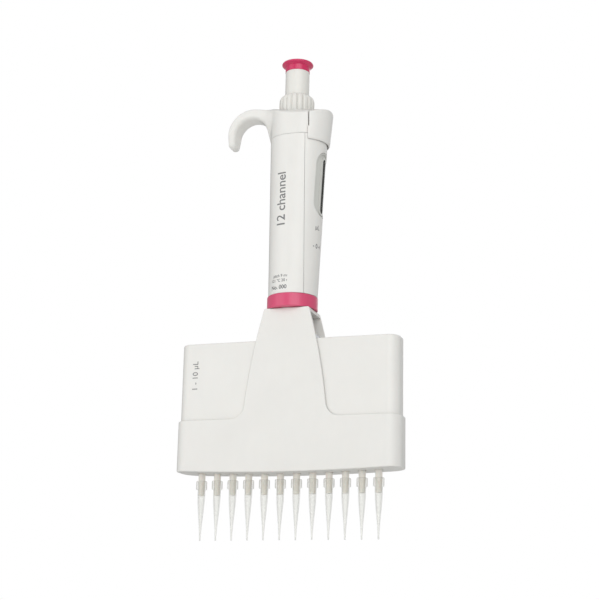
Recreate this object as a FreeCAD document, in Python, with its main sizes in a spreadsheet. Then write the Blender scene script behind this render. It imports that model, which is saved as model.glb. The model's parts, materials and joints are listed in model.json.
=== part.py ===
"""Twelve-channel manual pipette with fitted tips.

Millimetres, +Z up. The origin lies on the swivel axis, level with the ends of the tips. +X runs along
the manifold towards the side of the display and the ejector button, and the finger rest points to -X.
"""
import FreeCAD, Part
import math
import os
import re
import Sketcher

CHANNELS = 12

# Driving dimensions, grouped by assembly: alias and value, in millimetres and degrees.
SIZES = {
    # cutting tools reach this far past the face they open
    "over": 5.0,
    # nozzle row and tips
    "nozzle_pitch": 9.0,
    "tip_top": 31.8,
    "tip_collar_bottom": 27.1,
    "tip_collar_radius": 2.95,
    "tip_fit": 0.03,
    "cone_end": 24.0,
    "cone_end_radius": 1.55,
    "stem_radius": 1.85,
    "nozzle_body_radius": 3.3,
    "nozzle_body_bottom": 38.25,
    "nozzle_body_top": 62.0,
    "nozzle_flange_radius": 3.9,
    "nozzle_flange_height": 2.0,
    "channel_radius": 0.4,
    "piston_radius": 0.55,
    "piston_fit": 0.04,
    "piston_bore_bottom": 42.0,
    "piston_low": 57.0,
    # manifold housing
    "cover_half_length": 61.5,
    "cover_half_depth": 8.5,
    "cover_corner": 6.0,
    "cover_bottom": 38.1,
    "cover_top": 106.0,
    "cover_wall": 1.4,
    "cover_roof": 2.0,
    "cover_edge": 1.0,
    "housing_fit": 0.05,
    "base_bottom": 38.2,
    "base_top": 54.0,
    "boss_x": 56.5,
    "guide_x": 27.0,
    "guide_y": 4.9,
    "guide_radius": 1.4,
    "guide_fit": 0.08,
    "bar_spring_bore": 1.6,
    "bar_spring_radius": 2.1,
    "boss_radius": 2.6,
    "boss_height": 12.0,
    "boss_web": 2.4,
    "boss_web_reach": 4.0,
    "thread_depth": 9.0,
    "thread_radius": 1.0,
    "screw_fit": 0.05,
    "screw_head_radius": 1.9,
    "screw_head_height": 1.5,
    "screw_seat_radius": 2.0,
    "screw_seat_depth": 2.1,
    "base_screw_head": 1.8,
    "base_screw_reach": 6.0,
    "socket_radius": 0.8,
    "socket_floor": 0.6,
    "bar_half_length": 53.2,
    "bar_half_depth": 6.6,
    "seal_height": 1.4,
    "seal_radius": 2.4,
    "plate_height": 1.6,
    "plate_bore": 1.0,
    "plate_guide_bore": 2.75,
    "neck_screw_x": 11.5,
    "neck_screw_y": 4.6,
    "bar_bottom": 88.0,
    "bar_height": 6.0,
    "bar_boss_radius": 3.6,
    "pocket_length": 16.0,
    "pocket_half_depth": 4.4,
    "pocket_floor": 1.8,
    "pocket_inner_x": 6.5,
    "pocket_outer_x": 35.0,
    "rod_foot": 98.0,
    # ejector hood
    "hood_half_length": 62.6,
    "hood_half_depth": 10.0,
    "hood_corner": 7.0,
    "hood_wall": 1.0,
    "hood_bottom": 34.8,
    "hood_floor": 37.8,
    "hood_top": 63.6,
    "hood_bow_radius": 1225.0,
    "hood_edge": 0.6,
    "hood_face": 1.2,
    "hood_neck_fit": 0.45,
    "hood_stem_fit": 0.35,
    "yoke_corner": 1.0,
    "yoke_root_radius": 7.5,
    "yoke_waist_x": 22.9,
    "yoke_waist_lean": 6.232,
    "yoke_top_lean": 15.466,
    "yoke_side_radius": 330.0,
    "yoke_top_x": 12.9,
    "yoke_top": 123.2,
    "yoke_roof": 2.6,
    "sleeve_inner": 8.4,
    "sleeve_outer": 9.8,
    "sleeve_top": 132.5,
    # neck and swivel
    "neck_radius": 6.15,
    "neck_bore": 4.4,
    "neck_top": 150.0,
    "neck_flange_x": 15.0,
    "neck_flange_y": 8.0,
    "neck_flange_height": 3.0,
    "neck_flange_corner": 2.5,
    "circlip_radius": 7.3,
    "circlip_bottom": 147.1,
    "circlip_height": 1.2,
    "turning_fit": 0.05,
    "bush_outer": 7.45,
    "bush_bottom": 137.0,
    "bush_top": 147.0,
    # pink coupling nut
    "nut_radius": 13.88,
    "nut_bore": 12.0,
    "nut_bottom": 123.3,
    "nut_top": 130.7,
    "nut_floor": 1.0,
    "nut_floor_bore": 10.0,
    "nut_low_edge": 0.3,
    "nut_high_edge": 0.8,
    "spigot_bottom": 124.4,
    "spigot_wall": 1.1,
    # handle: a back circle on the axis hulled with a front circle moved towards +X
    "handle_bottom": 130.7,
    "handle_split": 221.2,
    "handle_radius_low": 13.35,
    "handle_radius_high": 14.1,
    "handle_shift_low": 0.35,
    "handle_shift_high": 3.85,
    "handle_wall": 1.6,
    "spigot_top": 132.1,
    "seam_x": 9.5,
    "display_shell_top": 225.3,
    # display window
    "window_radius": 7.8,
    "window_low": 183.0,
    "window_high": 205.0,
    "window_start_x": 8.0,
    "window_reach": 22.0,
    "bezel_inset": 0.25,
    "bezel_gap": 0.22,
    "lens_low": 179.6,
    "lens_high": 207.0,
    "window_fit": 0.1,
    "lens_fit": 0.05,
    "moat_outer": 6.9,
    "moat_inner": 3.0,
    "moat_depth": 0.9,
    "bezel_depth": 2.4,
    "lens_radius": 1.9,
    "lens_thickness": 0.6,
    "slot_radius": 1.6,
    "seam_groove": 0.15,
    "groove_depth": 0.35,
    # counter
    "counter_x": 2.4,
    "drum_radius": 10.9,
    "drum_bore": 9.05,
    "drum_bottom": 181.0,
    "drum_pitch": 8.8,
    "drum_height": 8.6,
    "drum_fit": 0.05,
    "counter_wall": 0.8,
    "counter_plate": 1.6,
    # top unit: collar with finger rest, and ejector button
    "collar_radius": 14.15,
    "top_radius": 14.85,
    "top_shift_low": 4.2,
    "top_shift_high": 7.3,
    "top_low": 217.0,
    "top_high": 248.0,
    "top_edge": 1.2,
    "rim_low": 231.2,
    "ridge_height": 239.6,
    "arch_radius": 21.0,
    "arch_reach": 80.0,
    "arch_tilt": 6.5,
    "roof_bottom": 233.5,
    "dial_hole": 10.2,
    "dial_bush_radius": 10.85,
    "dial_bush_height": 3.3,
    "shroud_fit": 0.15,
    "web_half_width": 3.0,
    "collar_end_x": 11.2,
    "slit_width": 0.8,
    "slit_bottom": 225.0,
    "button_bottom": 217.8,
    "button_edge": 1.2,
    # finger rest hook
    "hook_arc_x": -25.3,
    "hook_arc_z": 226.5,
    "hook_arc_radius": 9.5,
    "hook_outer_x": -24.6,
    "hook_outer_radius": 14.6,
    "hook_top": 241.6,
    "hook_root_x": -8.0,
    "hook_root_top": 240.0,
    "hook_foot_x": -14.3,
    "hook_half_width": 6.3,
    "hook_edge": 1.4,
    "hook_tip_radius": 2.0,
    "hook_tip_z": 221.8,
    "hook_lean": 4.4445,
    # dial
    "dial_bottom": 237.3,
    "dial_radius": 9.9,
    "dial_side_top": 244.8,
    "dial_side_curve": 2.6,
    "dial_rim_radius": 8.9,
    "dial_rim": 247.0,
    "dial_face_radius": 7.4,
    "dial_face": 247.9,
    "dial_ceiling": 240.5,
    "dial_sleeve_bottom": 217.0,
    "dial_sleeve": 9.6,
    "dial_sleeve_bore": 8.7,
    "dial_flutes": 18.0,
    "flute_radius": 0.6,
    "flute_circle": 9.8,
    "stop_bottom": 230.0,
    "stop_top": 236.0,
    # plunger
    "tube_radius": 6.75,
    "tube_bore": 5.6,
    "tube_fit": 0.12,
    "tube_bottom": 236.0,
    "cap_bottom": 262.8,
    "cap_collar_radius": 6.9,
    "cap_radius": 8.86,
    "cap_top": 268.5,
    "cap_under": 2.5,
    "cap_rim_low": 1.2,
    "cap_rim_high": 0.8,
    "cap_round": 0.3,
    "cap_plug_bottom": 258.0,
    "cap_plug_radius": 5.5,
    "rod_radius": 2.0,
    "shoulder_radius": 5.6,
    "shoulder_bottom": 180.5,
    "shoulder_height": 2.5,
    "spring_bore": 2.7,
    "spring_radius": 4.4,
    # spring housing in the chassis
    "chassis_outer": 8.2,
    "chassis_bore": 7.5,
    "chassis_bottom": 134.2,
    "chassis_top": 171.5,
    "seat_top": 152.5,
    "washer_bottom": 168.0,
    "washer_top": 170.0,
    "washer_bore": 4.8,
    "washer_radius": 7.3,
    "blowout_bore": 5.2,
    "blowout_radius": 7.1,
    "rod_fit": 0.3,
    "seat_height": 1.5,
    "chassis_mouth": 6.0,
    "bulkhead_low": 150.0,
    "bulkhead_high": 165.0,
    "bulkhead_height": 1.6,
    # ejector fork
    "ejector_spring_x": 12.4,
    "ejector_spring_radius": 2.5,
    "ejector_spring_bore": 1.5,
    "shelf_top": 210.7,
    "shelf_height": 1.5,
    "shelf_half_width": 3.2,
    "slot_bottom": 220.4,
    "fork_bore": 8.3,
    "fork_ring_radius": 10.6,
    "fork_inner": 10.4,
    "fork_outer": 11.6,
    "fork_bridge_low": 229.0,
    "fork_bridge_high": 232.0,
    "fork_ring_bottom": 132.6,
    "fork_flange_bottom": 140.2,
    "fork_flange_top": 142.5,
    "leg_start": 119.0,
    "leg_stop": 139.0,
    "leg_room": 4.0,
}

doc = FreeCAD.newDocument("TwelveChannelPipette")
sheet = doc.addObject("Spreadsheet::Sheet", "Sizes")
for row, (alias, number) in enumerate(SIZES.items(), start=1):
    sheet.set("A%d" % row, alias)
    sheet.set("B%d" % row, str(number))
    sheet.setAlias("B%d" % row, alias)
doc.recompute()

BIG = 400.0      # reach of the blocks that cut a body in two
nodes = []       # finished sub-parts, in the order they are made


def bound(text):
    """The expression with each alias pointed at the sheet."""
    return re.sub(r"[a-z]\w*",
                  lambda word: ("Sizes." + word.group()) if word.group() in SIZES else word.group(),
                  str(text))


def number(text):
    """The present value of an expression."""
    return float(sheet.evalExpression(bound(text)))


def bind(item, **properties):
    """Bind properties to expressions; a double underscore in a keyword stands for a dot."""
    for name, text in properties.items():
        item.setExpression(name.replace("__", "."), bound(text))
    return item


def node(label, item):
    """Mark an object as a finished sub-part."""
    item.Label = label
    nodes.append(item)
    return item


# ---------------------------------------------------------------- sketches and bodies

def draw(sketch, path):
    """Draw a closed counter-clockwise outline and bind it to the sheet.

    Each entry is (x, y) for a straight run to the next point,
    or (x, y, radius) for an arc to it. A positive
    radius puts the centre on the left of the run, a negative one on the right.
    """
    zero = FreeCAD.Vector(0, 0, 0)
    places = [(number(entry[0]), number(entry[1])) for entry in path]
    ends = []
    for index, entry in enumerate(path):
        start = FreeCAD.Vector(*places[index], 0)
        stop = FreeCAD.Vector(*places[(index + 1) % len(path)], 0)
        if len(entry) == 2:
            ends.append((sketch.addGeometry(Part.LineSegment(start, stop)), 1, 2))
            continue
        radius = number(entry[2])
        chord = stop - start
        side = FreeCAD.Vector(-chord.y, chord.x, 0).normalize() * math.copysign(1.0, radius)
        drop = math.sqrt(max(radius ** 2 - (chord.Length / 2) ** 2, 0.0))
        centre = (start + stop) / 2 + side * drop
        first, last = (start, stop) if radius > 0 else (stop, start)
        low = math.atan2(first.y - centre.y, first.x - centre.x)
        high = math.atan2(last.y - centre.y, last.x - centre.x)
        if high < low:
            high += 2 * math.pi
        circle = Part.Circle(centre, FreeCAD.Vector(0, 0, 1), abs(radius))
        arc = sketch.addGeometry(Part.ArcOfCircle(circle, low, high))
        ends.append((arc, 1, 2) if radius > 0 else (arc, 2, 1))
        fixed = sketch.addConstraint(Sketcher.Constraint("Radius", arc, abs(radius)))
        sketch.setExpression("Constraints[%d]" % fixed, bound("abs(%s)" % entry[2]))
    for index, entry in enumerate(path):
        edge, here, there = ends[index]
        follower, meets, unused = ends[(index + 1) % len(path)]
        sketch.addConstraint(Sketcher.Constraint("Coincident", edge, there, follower, meets))
        for kind, axis, text, place in (("DistanceX", -2, entry[0], places[index][0]),
                                        ("DistanceY", -1, entry[1], places[index][1])):
            if str(text) == "0":
                sketch.addConstraint(Sketcher.Constraint("PointOnObject", edge, here, axis))
                continue
            fixed = sketch.addConstraint(Sketcher.Constraint(kind, -1, 1, edge, here, place))
            sketch.setExpression("Constraints[%d]" % fixed, bound(text))
    return sketch


def body_sketch(name, plane, path):
    """A body with one sketch on the named origin plane."""
    body = doc.addObject("PartDesign::Body", name)
    sketch = body.newObject("Sketcher::SketchObject", name + "_profile")
    base = next(item for item in body.Origin.OriginFeatures if item.Role == plane)
    sketch.AttachmentSupport = [(base, "")]
    sketch.MapMode = "FlatFace"
    draw(sketch, path)
    return body, sketch


def lathe(name, path):
    """Turn a (radius, height) outline about the Z axis."""
    body, sketch = body_sketch(name, "XZ_Plane", path)
    turn = body.newObject("PartDesign::Revolution", name + "_turned")
    turn.Profile = sketch
    turn.ReferenceAxis = (sketch, ["V_Axis"])
    turn.Angle = 360.0
    return body


def slab(name, plane, path, length, middle=True):
    """Pad an outline that lies on an origin plane, to both sides of it unless told otherwise."""
    body, sketch = body_sketch(name, plane, path)
    pad = body.newObject("PartDesign::Pad", name + "_pad")
    pad.Profile = sketch
    pad.Midplane = middle
    bind(pad, Length=length)
    return body


def ring(name, inner, outer, low, high):
    """A plain tube about the Z axis."""
    return lathe(name, [(inner, low), (outer, low), (outer, high), (inner, high)])


# ---------------------------------------------------------------- primitives and booleans

def box(name, low, high):
    """A block between two corners, each given as three expressions."""
    block = doc.addObject("Part::Box", name)
    for side, axis, start, stop in zip(("Length", "Width", "Height"), "xyz", low, high):
        block.setExpression(side, bound("(%s) - (%s)" % (stop, start)))
        block.setExpression("Placement.Base." + axis, bound(start))
    return block


def cylinder(name, radius, place, height, along="z"):
    """A cylinder from a foot point along Z, or along X."""
    rod = doc.addObject("Part::Cylinder", name)
    if along == "x":
        rod.Placement = FreeCAD.Placement(FreeCAD.Vector(), FreeCAD.Rotation(FreeCAD.Vector(0, 1, 0), 90))
    bind(rod, Radius=radius, Height=height)
    for axis, text in zip("xyz", place):
        rod.setExpression("Placement.Base." + axis, bound(text))
    return rod


def join(name, *shapes):
    union = doc.addObject("Part::MultiFuse", name)
    union.Shapes = list(shapes)
    union.Refine = True
    return union


def overlap(name, *shapes):
    shared = doc.addObject("Part::MultiCommon", name)
    shared.Shapes = list(shapes)
    shared.Refine = True
    return shared


def cut(name, base, *tools):
    remainder = doc.addObject("Part::Cut", name)
    remainder.Base = base
    remainder.Tool = tools[0] if len(tools) == 1 else join(name + "_tools", *tools)
    remainder.Refine = True
    return remainder


def rounded(name, base, radius, chosen):
    """Round the edges of a finished shape that the test picks."""
    doc.recompute()
    fillet = doc.addObject("Part::Fillet", name)
    fillet.Base = base
    size = number(radius)
    fillet.Edges = [(index, size, size) for index, edge in enumerate(base.Shape.Edges,
                                                                     start=1) if chosen(edge)]
    return fillet


def group(label, pieces):
    """Several separate solids that share one node."""
    bundle = doc.addObject("Part::Compound", label)
    bundle.Links = pieces
    return node(label, bundle)


# ---------------------------------------------------------------- repeated sections

def stadium(radius, shift):
    """Hull of a circle on the axis and an equal one moved along +X, in quarter arcs."""
    return [("0", "-(%s)" % radius), (shift, "-(%s)" % radius, radius),
            ("(%s) + (%s)" % (shift, radius), "0", radius), (shift, radius), ("0", radius, radius),
            ("-(%s)" % radius, "0", radius)]


def rounded_block(name, half_x, half_y, corner, low, high):
    """An upright block with rounded vertical corners."""
    x, y, r = half_x, half_y, corner
    inner_x, inner_y = "(%s) - (%s)" % (x, r), "(%s) - (%s)" % (y, r)
    path = [("-(%s)" % inner_x, "-(%s)" % y), (inner_x, "-(%s)" % y, r), (x, "-(%s)" % inner_y),
            (x, inner_y, r),
            (inner_x, y), ("-(%s)" % inner_x, y, r), ("-(%s)" % x, inner_y),
            ("-(%s)" % x, "-(%s)" % inner_y, r)]
    body = slab(name, "XY_Plane", path, "(%s) - (%s)" % (high, low), middle=False)
    return bind(body, Placement__Base__z=low)


def loft(name, lower, upper, low, high):
    """A ruled solid between two outlines at two heights."""
    sections = []
    for suffix, path, level in (("_low", lower, low), ("_high", upper, high)):
        sketch = doc.addObject("Sketcher::SketchObject", name + suffix)
        draw(sketch, path)
        sections.append(bind(sketch, Placement__Base__z=level))
    solid = doc.addObject("Part::Loft", name)
    solid.Sections = sections
    solid.Solid = True
    solid.Ruled = True
    return solid


def handle_solid(name, inset):
    """The handle's outer form, moved inwards by the inset."""
    return loft(name, stadium("handle_radius_low - (%s)" % inset, "handle_shift_low"),
                stadium("handle_radius_high - (%s)" % inset, "handle_shift_high"), "handle_bottom",
                "handle_split")


def window_plug(name, radius, low="window_low", high="window_high"):
    """A stadium standing on the display side, from the middle of the handle to beyond its wall."""
    ends = [cylinder(name + suffix, radius, ("window_start_x", 0, level), "window_reach", along="x")
            for suffix, level in (("_low", low), ("_high", high))]
    middle = box(name + "_middle", ("window_start_x", "-(%s)" % radius, low),
                 ("window_start_x + window_reach", radius, high))
    return join(name, middle, *ends)


def channel_x(index):
    return "%.1f * nozzle_pitch" % (index - (CHANNELS - 1) / 2)


# ---------------------------------------------------------------- tips and nozzles

# A tip's taper below its collar, outside going up and bore going down: radius and height.
TIP_OUTSIDE = [(0.35, 0), (0.55, 3), (0.8, 7), (1.15, 11), (1.48, 15), (1.95, 21),
               (2.1, "tip_collar_bottom")]
TIP_BORE = [(1.4, 20.5), (1.08, 15), (0.8, 11), (0.5, 7), (0.32, 3), (0.2, 0)]


def make_tips():
    collar = [("tip_collar_radius - 0.25", "tip_collar_bottom"),
              ("tip_collar_radius", "tip_collar_bottom + 0.4"),
              ("tip_collar_radius", "tip_top - 0.3"), ("tip_collar_radius - 0.3", "tip_top"),
              ("stem_radius + tip_fit", "tip_top"), ("cone_end_radius + tip_fit", "cone_end")]
    for index in range(CHANNELS):
        tip = lathe("tip_%02d" % (index + 1), TIP_OUTSIDE + collar + TIP_BORE)
        bind(tip, Placement__Base__x=channel_x(index))
        node("tip_%02d" % (index + 1), tip)


def make_nozzles():
    for index in range(CHANNELS):
        flange = "nozzle_flange_radius"
        nozzle = lathe("nozzle_%02d" % (index + 1), [
            ("channel_radius", "cone_end"), ("cone_end_radius", "cone_end"), ("stem_radius", "tip_top"),
            ("stem_radius", "nozzle_body_bottom"), ("nozzle_body_radius", "nozzle_body_bottom"),
            ("nozzle_body_radius", "base_top"), (flange, "base_top"),
            (flange, "base_top + nozzle_flange_height"),
            ("nozzle_body_radius", "base_top + nozzle_flange_height"),
            ("nozzle_body_radius", "nozzle_body_top"),
            ("piston_radius + piston_fit", "nozzle_body_top"),
            ("piston_radius + piston_fit", "piston_bore_bottom"),
            ("channel_radius", "piston_bore_bottom")])
        bind(nozzle, Placement__Base__x=channel_x(index))
        node("nozzle_%02d" % (index + 1), nozzle)


# ---------------------------------------------------------------- manifold

def guide_places():
    return [("%d * guide_x" % x, "%d * guide_y" % y) for x in (-1, 1) for y in (-1, 1)]


def make_manifold():
    outer = rounded_block("cover_outer", "cover_half_length", "cover_half_depth", "cover_corner",
                          "cover_bottom", "cover_top")
    edges = rounded("cover_rounded", outer, "cover_edge",
                    lambda edge: edge.BoundBox.ZMin > number("cover_top") - 0.01)
    inner = rounded_block("cover_inner", "cover_half_length - cover_wall", "cover_half_depth - cover_wall",
                          "cover_corner - cover_wall", "cover_bottom", "cover_top - cover_roof")
    neck_hole = cylinder("cover_neck_hole", "neck_bore", (0, 0, "cover_top - over"), "2 * over")
    screw_holes = [cylinder("cover_screw_hole", "thread_radius + screw_fit", (x, y, "cover_top - over"),
                            "2 * over")
                   for x, y in neck_screw_places()]
    shell = cut("cover_shell", edges, inner, neck_hole, *screw_holes)
    bosses = []
    for name, side in (("left", -1), ("right", 1)):
        post = cylinder("boss_" + name, "boss_radius", ("%d * boss_x" % side, 0, "base_top"), "boss_height")
        middle = "%d * (boss_x + boss_web_reach / 2)" % side
        web = box("boss_web_" + name, (middle + " - boss_web_reach / 2", "-boss_web / 2", "base_top"),
                  (middle + " + boss_web_reach / 2", "boss_web / 2", "base_top + boss_height"))
        bosses += [post, web]
    drilled = [cylinder("boss_hole", "thread_radius", ("%d * boss_x" % side, 0, "base_top - over"),
                        "over + thread_depth") for side in (-1, 1)]
    node("manifold_cover", cut("manifold_cover", join("cover_with_bosses", shell, *bosses), *drilled))

    inset = " - cover_wall - housing_fit"
    block = rounded_block("base_block", "cover_half_length" + inset, "cover_half_depth" + inset,
                          "cover_corner" + inset, "base_bottom", "base_top")
    through = "base_top - cover_bottom + over"
    bores = [cylinder("base_bore", "nozzle_body_radius + housing_fit",
                      (channel_x(index), 0, "cover_bottom"), through)
             for index in range(CHANNELS)]
    screws = []
    for side in (-1, 1):
        foot = ("%d * boss_x" % side, 0, "cover_bottom")
        screws.append(cylinder("base_screw_bore", "thread_radius + screw_fit", foot, through))
        screws.append(cylinder("base_screw_seat", "screw_seat_radius", foot, "screw_seat_depth"))
    node("nozzle_base", cut("nozzle_base", block, *bores, *screws))

    seal_top = "nozzle_body_top + seal_height"
    plate = box("plate_block", ("-bar_half_length", "-bar_half_depth", seal_top),
                ("bar_half_length", "bar_half_depth", seal_top + " + plate_height"))
    holes = [cylinder("plate_hole", "plate_bore", (channel_x(index), 0, "nozzle_body_top"), "over")
             for index in range(CHANNELS)]
    holes += [cylinder("plate_guide_hole", "plate_guide_bore", (x, y, "nozzle_body_top"), "over")
              for x, y in guide_places()]
    node("seal_plate", cut("seal_plate", plate, *holes))

    seals = []
    for index in range(CHANNELS):
        seal = ring("piston_seal", "piston_radius + piston_fit", "seal_radius", "nozzle_body_top", seal_top)
        seals.append(bind(seal, Placement__Base__x=channel_x(index)))
    group("piston_seals", seals)

    group("guide_rods", [cylinder("guide_rod", "guide_radius", (x, y, "base_top"),
                                  "cover_top - cover_roof - base_top")
                         for x, y in guide_places()])


def neck_screw_places():
    return [("%d * neck_screw_x" % x, "%d * neck_screw_y" % y) for x in (-1, 1) for y in (-1, 1)]


def make_pistons():
    bar = box("bar_block", ("-bar_half_length", "-bar_half_depth", "bar_bottom"),
              ("bar_half_length", "bar_half_depth", "bar_bottom + bar_height"))
    boss = cylinder("bar_boss", "bar_boss_radius", (0, 0, "bar_bottom"), "rod_foot - bar_bottom")
    starts = ("-pocket_outer_x - pocket_length", "-pocket_inner_x - pocket_length", "pocket_inner_x",
              "pocket_outer_x")
    lightening = [box("bar_pocket", (x, "-pocket_half_depth", "bar_bottom + pocket_floor"),
                      (x + " + pocket_length", "pocket_half_depth",
                       "bar_bottom + bar_height + over")) for x in starts]
    holes = [cylinder("bar_guide_bore", "guide_radius + guide_fit", (x, y, "bar_bottom - over"),
                      "bar_height + 2 * over") for x, y in guide_places()]
    pocketed = cut("bar_pocketed", bar, *lightening)
    node("piston_bar", cut("piston_bar", join("bar_with_boss", pocketed, boss), *holes))
    group("pistons", [cylinder("piston", "piston_radius", (channel_x(index), 0, "piston_low"),
                               "bar_bottom - piston_low") for index in range(CHANNELS)])
    springs = []
    for x, y in guide_places():
        spring = ring("bar_spring", "bar_spring_bore", "bar_spring_radius", "base_top", "bar_bottom")
        springs.append(bind(spring, Placement__Base__x=x, Placement__Base__y=y))
    group("bar_springs", springs)


def make_neck():
    tube = ring("neck_barrel", "neck_bore", "neck_radius", "cover_top", "neck_top")
    plate = rounded_block("neck_plate", "neck_flange_x", "neck_flange_y", "neck_flange_corner", "cover_top",
                          "cover_top + neck_flange_height")
    bore = cylinder("neck_plate_bore", "neck_bore", (0, 0, "cover_top - over"), "2 * over")
    screw_holes = [cylinder("neck_screw_hole", "thread_radius + screw_fit", (x, y, "cover_top - over"),
                            "2 * over")
                   for x, y in neck_screw_places()]
    node("neck_tube", cut("neck_tube", join("neck_with_plate", tube, plate), bore, *screw_holes))
    node("retaining_ring", ring("retaining_ring", "neck_radius + turning_fit / 2", "circlip_radius",
                                "circlip_bottom",
                                "circlip_bottom + circlip_height"))

    screws = []
    seat = "cover_top + neck_flange_height"
    for x, y in neck_screw_places():
        head = cylinder("screw_head", "screw_head_radius", (x, y, seat), "screw_head_height")
        shank = cylinder("screw_shank", "thread_radius", (x, y, "cover_top - cover_roof"),
                         "cover_roof + neck_flange_height")
        socket = cylinder("screw_socket", "socket_radius", (x, y, seat + " + socket_floor"),
                          "screw_head_height")
        screws.append(cut("neck_screw", join("neck_screw_blank", head, shank), socket))
    for side in (-1, 1):
        x = "%d * boss_x" % side
        head = cylinder("screw_head", "screw_head_radius", (x, 0, "base_bottom + screw_fit"),
                        "base_screw_head")
        shank = cylinder("screw_shank", "thread_radius - screw_fit",
                         (x, 0, "base_bottom + base_screw_head"),
                         "base_top - base_bottom - base_screw_head + base_screw_reach")
        screws.append(join("base_screw", head, shank))
    group("head_screws", screws)


# ---------------------------------------------------------------- ejector hood

def make_hood():
    skirt = rounded_block("skirt_outer", "hood_half_length", "hood_half_depth", "hood_corner",
                          "hood_bottom - hood_edge", "hood_top")
    bow = doc.addObject("Part::Cylinder", "skirt_bow")
    bow.Placement = FreeCAD.Placement(FreeCAD.Vector(), FreeCAD.Rotation(FreeCAD.Vector(1, 0, 0), 90))
    bind(bow, Radius="hood_bow_radius", Height="4 * hood_half_depth",
         Placement__Base__y="2 * hood_half_depth",
         Placement__Base__z="hood_bottom + hood_bow_radius")
    bowed = overlap("skirt_bowed", skirt, bow)
    top = "yoke_top"
    root_x = "yoke_waist_x + yoke_root_radius * cos(yoke_waist_lean)"
    waist_z = "hood_top + yoke_root_radius * (1 - sin(yoke_waist_lean))"
    corner_x = "yoke_top_x - yoke_corner * cos(yoke_top_lean)"
    corner_z = "yoke_top - yoke_corner + yoke_corner * sin(yoke_top_lean)"
    yoke = slab("yoke_plate", "XZ_Plane", [
        ("-(%s)" % root_x, "hood_top - over"), (root_x, "hood_top - over"),
        (root_x, "hood_top", "-yoke_root_radius"),
        ("yoke_waist_x", waist_z, "yoke_side_radius"), ("yoke_top_x", corner_z, "yoke_corner"),
        (corner_x, top),
        ("-(%s)" % corner_x, top, "yoke_corner"), ("-yoke_top_x", corner_z, "yoke_side_radius"),
        ("-yoke_waist_x", waist_z, "-yoke_root_radius"), ("-(%s)" % root_x, "hood_top")],
        "2 * hood_half_depth")
    sleeve = ring("sleeve_blank", "sleeve_inner", "sleeve_outer", top + " - hood_edge", "sleeve_top")
    solid = join("hood_blank", bowed, yoke, sleeve)
    inner = rounded_block("skirt_inner", "hood_half_length - hood_wall", "hood_half_depth - hood_face",
                          "hood_corner - hood_wall", "hood_floor", "hood_top + over")
    gap = box("yoke_gap", (-BIG, "hood_face - hood_half_depth", "hood_top"),
              (BIG, "hood_half_depth - hood_face", top + " - yoke_roof"))
    neck = cylinder("yoke_neck_hole", "neck_radius + hood_neck_fit", (0, 0, top + " - over"), "2 * over")
    stems = [cylinder("stem_hole", "stem_radius + hood_stem_fit",
                      (channel_x(index), 0, "hood_floor - over"),
                      "2 * over") for index in range(CHANNELS)]
    hollow = cut("hood_hollow", solid, inner, gap, neck, *stems)
    node("ejector_hood", rounded("ejector_hood", hollow, "hood_edge", is_hood_edge))


def is_hood_edge(edge):
    """True for the hood's outer edges: the yoke's outline, the skirt's top and the skirt's bottom."""
    frame = edge.BoundBox
    far_y = max(abs(frame.YMin), abs(frame.YMax)) > number("hood_half_depth") - 0.01
    far_x = max(abs(frame.XMin), abs(frame.XMax)) > number("hood_half_length") - 0.01
    on_face = frame.YLength < 0.01 and far_y and frame.ZMin > number("hood_top") - 0.01
    on_top = frame.ZLength < 0.01 and abs(frame.ZMin - number("hood_top")) < 0.01 and far_x
    at_bottom = frame.ZMax < number("hood_bottom") + 3 and (far_x or far_y)
    return on_face or on_top or at_bottom


# ---------------------------------------------------------------- handle

def block_right(name, x, low, high):
    """Everything beyond a plane X = x, between two heights."""
    return box(name, (x, -BIG, low), (BIG, BIG, high))


def spigot(name):
    """The ring below the handle that the coupling nut screws on to."""
    outer = "nut_bore - turning_fit"
    return ring(name, outer + " - spigot_wall", outer, "spigot_bottom", "spigot_top")


def fork_channels(name, low, high):
    """Room for the fork's two legs through a bulkhead."""
    wide = fork_sector(name, "fork_inner - 2 * shroud_fit", "fork_outer + 4 * shroud_fit", low, high,
                       "leg_start - leg_room", "leg_stop + leg_room")
    return [wide, mirror(name + "_back", wide)]


def fork_sector(name, inner, outer, low, high, start, stop):
    """Part of a ring between two angles, in degrees from +X."""
    sectors = []
    for suffix, radius in (("_outer", outer), ("_inner", inner)):
        rod = cylinder(name + suffix, radius, (0, 0, low), "(%s) - (%s)" % (high, low))
        turn = FreeCAD.Rotation(FreeCAD.Vector(0, 0, 1), number(start))
        rod.Placement = FreeCAD.Placement(FreeCAD.Vector(), turn)
        sectors.append(bind(rod, Angle="(%s) - (%s)" % (stop, start), Placement__Base__z=low))
    return cut(name, *sectors)


def mirror(name, item):
    """The same shape on the other side of the XZ plane."""
    twin = doc.addObject("Part::Mirroring", name)
    twin.Source = item
    twin.Normal = FreeCAD.Vector(0, 1, 0)
    return twin


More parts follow.
